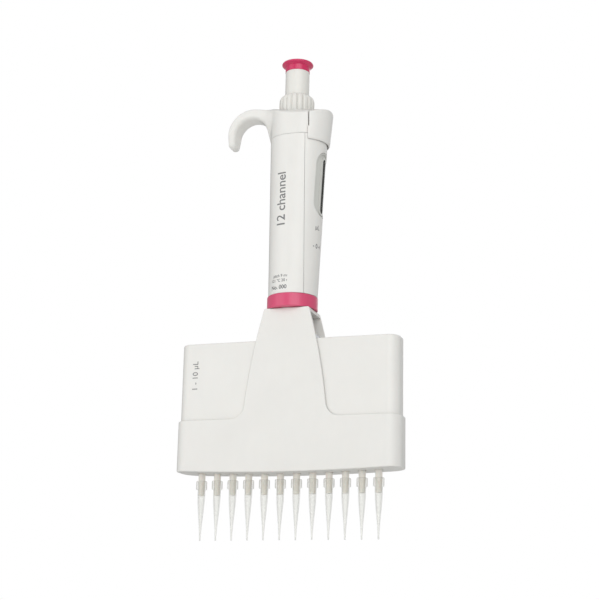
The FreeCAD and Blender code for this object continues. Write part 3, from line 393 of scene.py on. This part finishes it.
def make_springs():
    """Three single springs, and the bar springs, which share one node with a spring near each corner."""
    spring("plunger_spring", 1.1 * MM, 9)
    spring("blowout_spring", 0.9 * MM, 6)
    spring("ejector_spring", 0.5 * MM, 11)
    low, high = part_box("bar_springs")
    ends = (low.x + BAR_SPRING_RADIUS, high.x - BAR_SPRING_RADIUS)
    sides = (low.y + BAR_SPRING_RADIUS, high.y - BAR_SPRING_RADIUS)
    spots = [Vector((x, y, 0)) for x in ends for y in sides]
    spring("bar_springs", 0.45 * MM, 13, spots)


NOTCH_POWER = 4                               # the higher it is, the narrower the notches between ribs


def lathe_ring(build, radius, height, centre, sides, ribs=0, rib_depth=0.0):
    """One ring of vertices about a vertical axis; ribs lower the radius between them."""
    made = []
    for side in range(sides):
        turn = 2 * math.pi * side / sides
        dip = rib_depth * (0.5 - 0.5 * math.cos(ribs * turn)) ** NOTCH_POWER if ribs else 0
        made.append(build.verts.new((centre.x + (radius - dip) * math.cos(turn),
                                     centre.y + (radius - dip) * math.sin(turn), height)))
    return made


def lathe_mesh(profile, centre, sides):
    """A closed turned shape from (radius, height, ribs, rib depth) rows that go round its section."""
    build = bmesh.new()
    rings = [lathe_ring(build, row[0], row[1], centre, sides, *row[2:]) for row in profile]
    for first, second in zip(rings, rings[1:] + rings[:1]):
        for side in range(sides):
            after = (side + 1) % sides
            build.faces.new((first[side], first[after], second[after], second[side]))
    return build


TIP_RIBS = 12
TIP_RIB_DEPTH = 0.42 * MM
TIP_SIDES = 72
# the tip's section as shares of the collar's radius and of the length: outside going up, bore going down
TIP_TAPER = [(0.13, 0.0), (0.19, 0.11), (0.27, 0.23), (0.385, 0.35), (0.50, 0.47), (0.60, 0.58),
             (0.66, 0.66), (0.70, 0.76), (0.715, 0.845), (0.80, 0.852)]
TIP_COLLAR = [(0.96, 0.858), (1.0, 0.868), (1.0, 0.985), (0.97, 0.996)]
TIP_BORE = [(0.90, 1.0), (0.68, 1.0), (0.655, 0.985), (0.575, 0.80), (0.535, 0.755), (0.48, 0.645),
            (0.37, 0.47), (0.265, 0.345), (0.165, 0.22), (0.105, 0.10), (0.075, 0.0)]


def make_tips():
    """Disposable tips: a thin tapering wall, a step under the collar and a ribbed collar."""
    for index in range(CHANNELS):
        node = "tip_%02d" % (index + 1)
        low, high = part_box(node)
        centre = (low + high) / 2
        length = high.z - low.z
        collar = (high.x - low.x) / 2
        rows = [(collar * radius, low.z + length * level) for radius, level in TIP_TAPER]
        rows += [(collar * radius, low.z + length * level, TIP_RIBS, TIP_RIB_DEPTH)
                 for radius, level in TIP_COLLAR]
        rows += [(collar * radius, low.z + length * level) for radius, level in TIP_BORE]
        piece = new_piece(node + "_ribbed", lathe_mesh(rows, centre, TIP_SIDES), "tip_row", "tip_clear")
        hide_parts(node)


DIAL_FLUTES = 18
DIAL_FLUTE_DEPTH = 0.95 * MM
DIAL_SIDE = (237.3 * MM, 244.6 * MM)          # the knob's straight side
DIAL_SLEEVE = (8.7 * MM, 9.6 * MM)            # bore and outside of the sleeve inside the handle
DIAL_CEILING = 240.5 * MM
DIAL_MOUTH = 6.9 * MM
DIAL_SIDES = 360
DIAL_FACE = 0.77                              # share of the radius where the flat top starts
# the knob's shoulder: share of the radius, depth below the top, share of the flute depth
DIAL_SHOULDER = [(0.985, 2.3 * MM, 1.0), (0.945, 1.35 * MM, 0.95), (0.88, 0.6 * MM, 0.8),
                 (0.80, 0.15 * MM, 0.4)]


def make_dial():
    """The volume knob: rounded lobes parted by narrow notches that run up over the shoulder."""
    low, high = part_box("volume_dial")
    radius = min(high.x - low.x, high.y - low.y) / 2
    knob = [(0.97, DIAL_SIDE[0], 0.8), (1.0, DIAL_SIDE[0] + 0.5 * MM, 1.0), (1.0, DIAL_SIDE[1], 1.0)]
    knob += [(share, high.z - drop, depth) for share, drop, depth in DIAL_SHOULDER]
    rows = [(DIAL_SLEEVE[0], low.z), (DIAL_SLEEVE[1], low.z), (DIAL_SLEEVE[1], DIAL_SIDE[0])]
    rows += [(radius * share, height, DIAL_FLUTES, DIAL_FLUTE_DEPTH * depth)
             for share, height, depth in knob]
    rows += [(DIAL_FACE * radius, high.z), (DIAL_MOUTH, high.z), (DIAL_MOUTH, DIAL_CEILING),
             (DIAL_SLEEVE[0], DIAL_CEILING)]
    piece = new_piece("volume_dial_fluted", lathe_mesh(rows, Vector(), DIAL_SIDES), "dial", "dial_white")
    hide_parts("volume_dial")


# ---------------------------------------------------------------- finger rest

def relax(points, pairs, weights, rounds):
    """Move each point towards the mean of its neighbours, by its weight, some rounds over."""
    count = len(points)
    first = np.concatenate((pairs[:, 0], pairs[:, 1]))
    second = np.concatenate((pairs[:, 1], pairs[:, 0]))
    degree = np.bincount(first, minlength=count)
    for _ in range(rounds):
        sums = [np.bincount(first, points[second, axis], count) / degree for axis in range(3)]
        mean = np.stack(sums, axis=1)
        points = points + 0.5 * weights[:, None] * (mean - points)
    return points


REST_VOXEL = 0.36 * MM
ALL_ROUNDS = 4                                # rounds of relaxing, everywhere and at the hook's root
ROOT_ROUNDS = 40
ROOT_X = -13.5 * MM                           # the middle of the root, and how far its softening reaches
ROOT_REACH = 6 * MM
ROOT_RADIUS = (13.4 * MM, 0.6 * MM)           # the collar's wall stays firm within this, with a soft start
REST_LOW, REST_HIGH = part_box("finger_rest")
COLLAR_LOW = (REST_LOW.z, 14.15 * MM)         # the collar's radius at two heights
COLLAR_HIGH = (248 * MM, 14.85 * MM)
CROWN_RADIUS = 21 * MM                        # the arched top, seen along X
CROWN_RISE = (231 * MM, 240 * MM)             # the top's arch comes in between these heights
CROWN_NEAR = (-24 * MM, -12 * MM)             # and grows to its full depth between these places
HOOK_INNER = Vector((-25.3, 226.5)) * MM      # centre of the arc that the finger touches
HOOK_INNER_RADIUS = 9.5 * MM
HOOK_OUTER = Vector((-24.6, 227.0)) * MM
HOOK_OUTER_RADIUS = 14.6 * MM
HOOK_LIFT = 0.4 * MM                          # the crest stands above the CAD outline where it is crowned
HOOK_HALF_WIDTH = 6.3 * MM
HOOK_TIP = Vector((-37.2, 221.8)) * MM
HOOK_TIP_RADIUS = 2.0 * MM
HOOK_ROOT_X = -8 * MM                         # the sweep starts inside the collar
HOOK_FLARE_X = -20.7 * MM                     # from here the hook widens into the collar
HOOK_FLARE_RADIUS = 16 * MM
HOOK_FLARE_REACH = 10.8 * MM                  # the flare's arc meets the collar's round side here
HOOK_FOOT = Vector((-14.3 * MM, REST_LOW.z + 0.2 * MM))
HOOK_ROOT_TOP = 240.2 * MM
HOOK_PINCH = 0.45                             # how much narrower the foot is, to hide in the collar
HOOK_TIP_START = 230 * MM                     # below this height the hook narrows towards its tip
HOOK_TIP_RUN = 12 * MM
HOOK_TIP_PINCH = 0.42
TIP_STEPS = 8
INNER_ROUND = (2.6 * MM, 2.0 * MM)            # the section's corner at the finger: across, deep
OUTER_ROUND = (1.7 * MM, 1.2 * MM)


def polyline(points):
    """The point at a share of the way along a chain of points."""
    lengths = [0.0]
    for first, second in zip(points, points[1:]):
        lengths.append(lengths[-1] + (second - first).length)

    def at(share):
        reach = share * lengths[-1]
        for index in range(len(points) - 1):
            if reach <= lengths[index + 1] or index == len(points) - 2:
                part = (reach - lengths[index]) / (lengths[index + 1] - lengths[index])
                return points[index].lerp(points[index + 1], part)
    return at


def arc(centre, radius, start, stop, steps=24):
    """Points of an arc between two angles in degrees."""
    turns = [math.radians(start + (stop - start) * step / steps) for step in range(steps + 1)]
    return [centre + radius * Vector((math.cos(turn), math.sin(turn))) for turn in turns]


def hook_sections():
    """Pairs of points in the XZ plane, outside and inside of the hook, from its root to its tip."""
    root_low = Vector((HOOK_ROOT_X, HOOK_FOOT.y))
    root_high = Vector((HOOK_ROOT_X, HOOK_ROOT_TOP))
    crest = HOOK_OUTER + Vector((0, HOOK_OUTER_RADIUS + HOOK_LIFT))
    outside = [polyline([root_low, root_high]), polyline([root_high, crest]),
               polyline([spot + Vector((0, HOOK_LIFT * (spot.y - HOOK_OUTER.y) / HOOK_OUTER_RADIUS))
                         for spot in arc(HOOK_OUTER, HOOK_OUTER_RADIUS, 90, 180)]),
               polyline([HOOK_OUTER - Vector((HOOK_OUTER_RADIUS, 0)),
                         HOOK_TIP - Vector((HOOK_TIP_RADIUS, 0))])]
    inside = [polyline([HOOK_FOOT] + arc(HOOK_INNER, HOOK_INNER_RADIUS, 0, 40)),
              polyline(arc(HOOK_INNER, HOOK_INNER_RADIUS, 40, 95)),
              polyline(arc(HOOK_INNER, HOOK_INNER_RADIUS, 95, 180)),
              polyline([HOOK_INNER - Vector((HOOK_INNER_RADIUS, 0)),
                        HOOK_TIP + Vector((HOOK_TIP_RADIUS, 0))])]
    pairs = []
    for steps, outer, inner in zip((12, 14, 26, 8), outside, inside):
        pairs += [(outer(step / steps), inner(step / steps)) for step in range(steps)]
    return pairs + [(outside[-1](1), inside[-1](1))]


def section_outline(depth, steps=8):
    """A rounded section of the hook as (y, share from inside to outside): soft inside, firmer outside."""
    inner_y, outer_y = INNER_ROUND[0], OUTER_ROUND[0]
    inner_depth, outer_depth = min(INNER_ROUND[1], 0.5 * depth), min(OUTER_ROUND[1], 0.3 * depth)
    corners = [(HOOK_HALF_WIDTH - inner_y, inner_depth, inner_y, inner_depth, -90),
               (HOOK_HALF_WIDTH - outer_y, depth - outer_depth, outer_y, outer_depth, 0)]
    half = []
    for y, level, reach_y, reach_depth, start in corners:
        for step in range(steps + 1):
            turn = math.radians(start + 90 * step / steps)
            half.append((y + reach_y * math.cos(turn), (level + reach_depth * math.sin(turn)) / depth))
    return half + [(-y, share) for y, share in reversed(half)]


def ease(value, start, stop):
    """A smooth step from 0 at start to 1 at stop."""
    share = min(max((value - start) / (stop - start), 0), 1)
    return share * share * (3 - 2 * share)


def hook_width(x, z):
    """How much wider the hook is at a place than at its middle: above its foot it flares to the collar."""
    run = min(max(x - HOOK_FLARE_X, 0), HOOK_FLARE_REACH)
    flare = HOOK_FLARE_RADIUS - math.sqrt(HOOK_FLARE_RADIUS ** 2 - run ** 2)
    above_foot = ease(z, REST_LOW.z + 4 * MM, REST_LOW.z + 13 * MM)
    pinch = HOOK_PINCH * (1 - above_foot) * ease(x, -18 * MM, -15 * MM)
    return 1 + above_foot * flare / HOOK_HALF_WIDTH - pinch


def make_hook():
    """The hook as a closed swept mesh with a crowned top, a soft underside and a round tip."""
    build = bmesh.new()
    sections = [(outer, inner, 1.0) for outer, inner in hook_sections()]
    outer, inner = sections[-1][:2]
    middle = (outer + inner) / 2
    for step in range(1, TIP_STEPS + 1):
        turn = math.pi / 2 * step / (TIP_STEPS + 1)
        drop = Vector((0, -HOOK_TIP_RADIUS * math.sin(turn)))
        sections.append((middle + (outer - middle) * math.cos(turn) + drop,
                         middle + (inner - middle) * math.cos(turn) + drop, math.cos(turn)))
    rings = []
    for outer, inner, share in sections:
        depth = (outer - inner).length
        tip = min(max((HOOK_TIP_START - outer.y) / HOOK_TIP_RUN, 0), 1) if outer.x < HOOK_OUTER.x else 0
        narrow = (1 - HOOK_TIP_PINCH * tip ** 1.5) * (0.3 + 0.7 * share)
        made = []
        for y, level in section_outline(depth):
            spot = inner.lerp(outer, level)
            across = y * narrow * hook_width(spot.x, spot.y)
            near = ease(spot.x, *CROWN_NEAR)
            upper = level * ease(spot.y, *CROWN_RISE)
            crown = (CROWN_RADIUS - math.sqrt(CROWN_RADIUS ** 2 - across ** 2)) * upper * (0.4 + 0.6 * near)
            made.append(build.verts.new((spot.x, across, spot.y - crown)))
        rings.append(made)
    count = len(rings[0])
    for first, second in zip(rings, rings[1:]):
        for side in range(count):
            after = (side + 1) % count
            build.faces.new((first[side], first[after], second[after], second[side]))
    build.faces.new(list(reversed(rings[0])))
    build.faces.new(rings[-1])
    bmesh.ops.recalc_face_normals(build, faces=build.faces)
    return build


ENVELOPE_ROOM = 0.02 * MM
ENVELOPE_STEPS = 96
ENVELOPE_REACH = 60 * MM


def collar_envelope():
    """Everything within the collar's tapering outside, open far to +X."""
    build = bmesh.new()
    levels = [(COLLAR_LOW[0] - 1 * MM, COLLAR_LOW[1]), COLLAR_LOW, COLLAR_HIGH]
    rings = []
    for height, radius in levels:
        radius += ENVELOPE_ROOM
        turns = [math.radians(90 + 180 * step / ENVELOPE_STEPS) for step in range(ENVELOPE_STEPS + 1)]
        outline = [(radius * math.cos(turn), radius * math.sin(turn)) for turn in turns]
        outline += [(ENVELOPE_REACH, -radius), (ENVELOPE_REACH, radius)]
        rings.append([build.verts.new((x, y, height)) for x, y in outline])
    for first, second in zip(rings, rings[1:]):
        for side in range(len(first)):
            after = (side + 1) % len(first)
            build.faces.new((first[side], first[after], second[after], second[side]))
    build.faces.new(rings[0])
    build.faces.new(rings[-1])
    bmesh.ops.recalc_face_normals(build, faces=build.faces)
    return build


def mesh_object(name, build):
    """A bare object from a bmesh."""
    mesh = bpy.data.meshes.new(name)
    build.to_mesh(mesh)
    build.free()
    holder = bpy.data.objects.new(name, mesh)
    bpy.context.scene.collection.objects.link(holder)
    return holder


def applied_mesh(holder):
    """The object's mesh with its modifiers applied."""
    bpy.context.view_layer.update()
    return bpy.data.meshes.new_from_object(holder.evaluated_get(bpy.context.evaluated_depsgraph_get()))


def make_finger_rest():
    """The collar and its hook as one soft moulding: an even fine mesh, relaxed at the hook's root."""
    node = "finger_rest"
    build = bmesh.new()
    build.from_mesh(NODES[node].data)
    bmesh.ops.remove_doubles(build, verts=build.verts, dist=0.001 * MM)
    collar = mesh_object("collar_only", build)
    envelope = mesh_object("collar_envelope", collar_envelope())
    trim = collar.modifiers.new("trim", "BOOLEAN")
    trim.operation = "INTERSECT"
    trim.solver = "EXACT"
    trim.object = envelope
    trimmed = applied_mesh(collar)
    build = make_hook()
    build.from_mesh(trimmed)
    piece = mesh_object("finger_rest_moulding", build)
    for spare in (collar, envelope):
        bpy.data.objects.remove(spare)
    remesh = piece.modifiers.new("even_mesh", "REMESH")
    remesh.mode = "VOXEL"
    remesh.voxel_size = REST_VOXEL
    mesh = applied_mesh(piece)
    piece.modifiers.clear()
    piece.data = mesh

    points = np.empty(3 * len(mesh.vertices))
    mesh.vertices.foreach_get("co", points)
    points = points.reshape(-1, 3)
    pairs = np.empty(2 * len(mesh.edges), dtype=np.int64)
    mesh.edges.foreach_get("vertices", pairs)
    pairs = pairs.reshape(-1, 2)
    points = relax(points, pairs, np.ones(len(points)), ALL_ROUNDS)
    outside = np.clip((np.hypot(points[:, 0], points[:, 1]) - ROOT_RADIUS[0]) / ROOT_RADIUS[1], 0, 1)
    root = np.clip(1 - np.abs(points[:, 0] - ROOT_X) / ROOT_REACH, 0, 1) * outside
    points = relax(points, pairs, root, ROOT_ROUNDS)
    points = np.clip(points, REST_LOW, REST_HIGH)
    mesh.vertices.foreach_set("co", points.ravel())
    mesh.shade_smooth()
    mesh.update()
    dress(piece, MATERIALS["body_white"])
    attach(piece, BODY_OF[node])
    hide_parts(node)


# ---------------------------------------------------------------- printed marks

INK_DEPTH = 0.04 * MM
CAPITAL = 0.72                                # a capital's height as a share of the font size
BEND_STEP = 0.4 * MM


def glyphs(text, height, bold=0.0):
    """The text as a closed flat mesh in X and Y, centred, with its front at INK_DEPTH, its back below."""
    curve = bpy.data.curves.new("glyphs", "FONT")
    curve.body = text
    curve.size = height / CAPITAL
    curve.extrude = INK_DEPTH
    curve.offset = bold
    curve.resolution_u = 4
    curve.align_x = "CENTER"
    curve.align_y = "CENTER"
    holder = bpy.data.objects.new("glyphs", curve)
    bpy.context.scene.collection.objects.link(holder)
    bpy.context.view_layer.update()
    mesh = bpy.data.meshes.new_from_object(holder.evaluated_get(bpy.context.evaluated_depsgraph_get()))
    bpy.data.objects.remove(holder)
    bpy.data.curves.remove(curve)
    build = bmesh.new()
    build.from_mesh(mesh)
    bpy.data.meshes.remove(mesh)
    bmesh.ops.remove_doubles(build, verts=build.verts, dist=0.0001 * MM)
    return build


def slice_mesh(build, axis, step):
    """Cut the mesh into strips across an axis, so that it can bend round a curved face."""
    reach = [vert.co[axis] for vert in build.verts]
    cut = min(reach) + step
    normal = [0, 0, 0]
    normal[axis] = 1
    while cut < max(reach):
        point = [0, 0, 0]
        point[axis] = cut
        bmesh.ops.bisect_plane(build, geom=build.verts[:] + build.edges[:] + build.faces[:],
                               plane_co=point, plane_no=normal)
        cut += step


def print_mark(name, build, body, surface, material="ink_grey", slot="body_white", bend_axis=None):
    """Lay a flat mark on a surface: surface(x, y) gives the point and the outward normal."""
    if bend_axis is not None:
        slice_mesh(build, bend_axis, BEND_STEP)
    for vert in build.verts:
        point, normal = surface(vert.co.x, vert.co.y)
        vert.co = point + normal * vert.co.z
    return new_piece(name, build, body, slot, material, smooth=False)


HANDLE_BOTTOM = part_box("coupling_nut")[1].z
HANDLE_RADIUS_LOW = 13.35 * MM
GRIP_LOW, GRIP_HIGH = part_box("grip_shell")
NOSE_SHIFT_LOW = 0.35 * MM                    # how far the round +X end stands off the axis, bottom and top
NOSE_SHIFT_HIGH = 3.85 * MM


def handle_radius(height):
    """The handle's radius at a height: it widens evenly from bottom to top."""
    share = (height - HANDLE_BOTTOM) / (GRIP_HIGH.z - HANDLE_BOTTOM)
    return HANDLE_RADIUS_LOW + share * (-GRIP_LOW.x - HANDLE_RADIUS_LOW)


def on_handle(centre_x, centre_z):
    """Marks that read upwards on the handle's rounded front, centred on a point."""
    def surface(along, above):
        height = centre_z + along
        radius = handle_radius(height)
        angle = math.asin(centre_x / radius) - above / radius
        normal = Vector((math.sin(angle), -math.cos(angle), 0))
        return Vector((0, 0, height)) + radius * normal, normal
    return surface


def on_handle_level(centre_x, centre_z):
    """Marks that read level round the handle's front, centred on a point."""
    def surface(along, above):
        height = centre_z + above
        radius = handle_radius(height)
        angle = math.asin(centre_x / radius) + along / radius
        normal = Vector((math.sin(angle), -math.cos(angle), 0))
        return Vector((0, 0, height)) + radius * normal, normal
    return surface


def on_nose(side, centre_z):
    """Marks that read level on the handle's rounded +X end, some degrees from +X towards the front."""
    def surface(along, above):
        height = centre_z + above
        radius = handle_radius(height)
        angle = along / radius - math.radians(side)
        normal = Vector((math.cos(angle), math.sin(angle), 0))
        share = (height - HANDLE_BOTTOM) / (GRIP_HIGH.z - HANDLE_BOTTOM)
        shift = NOSE_SHIFT_LOW + share * (NOSE_SHIFT_HIGH - NOSE_SHIFT_LOW)
        return Vector((shift, 0, height)) + radius * normal, normal
    return surface


def on_cover(centre_x, centre_z):
    """Marks that read upwards on the manifold cover's flat front."""
    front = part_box("manifold_cover")[0].y

    def surface(along, above):
        return Vector((centre_x - above, front, centre_z + along)), Vector((0, -1, 0))
    return surface


def on_drum(node, angle, height):
    """Digits that stand upright on a counter drum."""
    low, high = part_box(node)
    centre, radius = (low + high) / 2, (high.x - low.x) / 2

    def surface(along, above):
        turn = angle + along / radius
        normal = Vector((math.cos(turn), math.sin(turn), 0))
        return Vector((centre.x, centre.y, height + above)) + radius * normal, normal
    return surface


def make_marks():
    """Generic marks: on the handle's front and foot, on the manifold, and below the window."""
    print_mark("channel_mark", glyphs("12 channel", 5.3 * MM, 0.05 * MM), "handle",
               on_handle(-3.0 * MM, 183.5 * MM), bend_axis=1)
    for name, text, height, bold, level in (("pitch_mark", "pitch 9 mm", 1.6, 0.02, 140.2),
                                            ("heat_mark", "121 °C 20 min", 1.6, 0.02, 137.6),
                                            ("number_mark", "No. 00012", 2.2, 0.07, 133.9)):
        print_mark(name, glyphs(text, height * MM, bold * MM), "handle",
                   on_handle_level(-2.5 * MM, level * MM), bend_axis=0)
    print_mark("range_mark", glyphs("1 - 10 µL", 3.2 * MM), "head", on_cover(-52.0 * MM, 88.0 * MM))
    print_mark("unit_mark", glyphs("µL", 2.6 * MM, 0.04 * MM), "handle",
               on_nose(17, 168.5 * MM), bend_axis=0)
    print_mark("sense_mark", glyphs("- 0 +", 2.6 * MM, 0.05 * MM), "handle",
               on_nose(14, 158.0 * MM), bend_axis=0)


DIGIT_HEIGHT = 4.6 * MM
DIGIT_BOLD = 0.05 * MM


def make_digits():
    """The ten digits round each counter drum, white on black, reading from the window."""
    for name in ("tenths", "units", "tens"):
        node = "drum_" + name
        low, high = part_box(node)
        for digit in range(10):
            angle = 2 * math.pi * digit / 10
            build = glyphs(str(digit), DIGIT_HEIGHT, DIGIT_BOLD)
            print_mark("%s_digit_%d" % (name, digit), build, "counter_" + name,
                       on_drum(node, angle, (low.z + high.z) / 2), "ink_white", "drum_black", bend_axis=0)


# ---------------------------------------------------------------- stage, light and camera

FLOOR_GLOW = 0.12                             # lights the floor a little beyond the lamps' reach
FLOOR_HEIGHT = -0.22
FLOOR_RADIUS = 12.0
FLOOR_SIDES = 96


def make_stage():
    """A pale paper floor well under the hanging pipette."""
    build = bmesh.new()
    bmesh.ops.create_circle(build, cap_ends=True, segments=FLOOR_SIDES, radius=FLOOR_RADIUS)
    mesh = bpy.data.meshes.new("floor")
    build.to_mesh(mesh)
    build.free()
    floor = bpy.data.objects.new("floor", mesh)
    floor.location.z = FLOOR_HEIGHT
    bpy.context.scene.collection.objects.link(floor)
    material, tree = new_tree("floor_paper")
    paper = noise(tree, place(tree), 1.5 * MM, 3.0)
    shader = add(tree, "ShaderNodeBsdfPrincipled", {
        "Base Color": (0.88, 0.88, 0.87, 1.0), "Roughness": spread(tree, paper, 0.8, 0.95),
        "Emission Color": (0.97, 0.97, 0.96, 1.0), "Emission Strength": FLOOR_GLOW,
        "Normal": bumps(tree, [(paper, 0.02 * MM)])})
    finish_material(tree, shader.outputs["BSDF"])
    dress(floor, material)


FILL_STRENGTH = 0.40


def make_world():
    """White behind the object, and a softer grey light from all round."""
    world = bpy.data.worlds.new("studio")
    bpy.context.scene.world = world
    world.use_nodes = True
    tree = world.node_tree
    tree.nodes.clear()
    rays = add(tree, "ShaderNodeLightPath")
    seen = add(tree, "ShaderNodeMath",
               {0: rays.outputs["Is Camera Ray"], 1: rays.outputs["Is Transmission Ray"]},
               operation="MAXIMUM").outputs[0]
    white = add(tree, "ShaderNodeBackground", {"Color": (1, 1, 1, 1), "Strength": 1.0})
    fill = add(tree, "ShaderNodeBackground", {"Color": (0.97, 0.99, 1.0, 1), "Strength": FILL_STRENGTH})
    mixed = add(tree, "ShaderNodeMixShader", {0: seen, 1: fill.outputs[0], 2: white.outputs[0]})
    output = add(tree, "ShaderNodeOutputWorld")
    tree.links.new(mixed.outputs[0], output.inputs["Surface"])


def softbox(name, azimuth, elevation, distance, size, power, aim):
    """A square area light that faces the aim point; azimuth 0 is in front, 90 on the +X side."""
    light = bpy.data.lights.new(name, "AREA")
    light.shape = "RECTANGLE"
    light.size, light.size_y = size
    light.energy = power
    holder = bpy.data.objects.new(name, light)
    bpy.context.scene.collection.objects.link(holder)
    side, up = math.radians(azimuth), math.radians(elevation)
    out = Vector((math.sin(side) * math.cos(up), -math.cos(side) * math.cos(up), math.sin(up)))
    holder.location = aim + out * distance
    holder.rotation_mode = "QUATERNION"
    holder.rotation_quaternion = (-out).to_track_quat("-Z", "Y")
    holder.visible_camera = False
    return holder


def make_lights():
    """Four soft boxes: the key from the front right, a fill, one above and one behind."""
    low, high = cad_box
    aim = (low + high) / 2
    softbox("key_softbox", 28, 22, 1.1, (0.9, 0.9), 5.0, aim)
    softbox("fill_softbox", -42, 10, 1.2, (0.9, 1.1), 3.0, aim)
    softbox("top_softbox", 0, 75, 1.0, (0.8, 0.5), 1.0, aim)
    softbox("back_softbox", 180, 25, 1.3, (1.0, 1.0), 2.5, aim)


VIEW_AZIMUTH = 19.02
VIEW_ELEVATION = -14.41
VIEW_ROLL = 1.22
VIEW_DISTANCE = 0.7725
VIEW_TARGET = Vector((0.004, 0.0, 0.1295))
LENS = 85.07
SENSOR = 36.0


def make_camera():
    """A long lens that looks up at the pipette from its front right."""
    camera = bpy.data.cameras.new("camera")
    camera.lens = LENS
    camera.sensor_width = SENSOR
    camera.clip_start = 0.01
    holder = bpy.data.objects.new("camera", camera)
    bpy.context.scene.collection.objects.link(holder)
    side, up, roll = (math.radians(value) for value in (VIEW_AZIMUTH, VIEW_ELEVATION, VIEW_ROLL))
    back = Vector((math.sin(side) * math.cos(up), -math.cos(side) * math.cos(up), math.sin(up)))
    level = (-back).cross(Vector((0, 0, 1))).normalized()
    upright = level.cross(-back)
    right = math.cos(roll) * level + math.sin(roll) * upright
    top = math.cos(roll) * upright - math.sin(roll) * level
    turn = Matrix((right, top, back)).transposed().to_4x4()
    holder.matrix_world = Matrix.Translation(VIEW_TARGET + VIEW_DISTANCE * back) @ turn
    bpy.context.scene.camera = holder


# ---------------------------------------------------------------- the scene

MATERIALS = make_materials()
for subpart in frame["record"]["subparts"]:
    dress(NODES[subpart["node"]], MATERIALS[subpart["material_slot"]])
make_springs()
make_tips()
make_dial()
make_finger_rest()
make_digits()
make_marks()
make_stage()
make_world()
make_lights()
make_camera()
bpy.context.scene.view_settings.view_transform = "Standard"
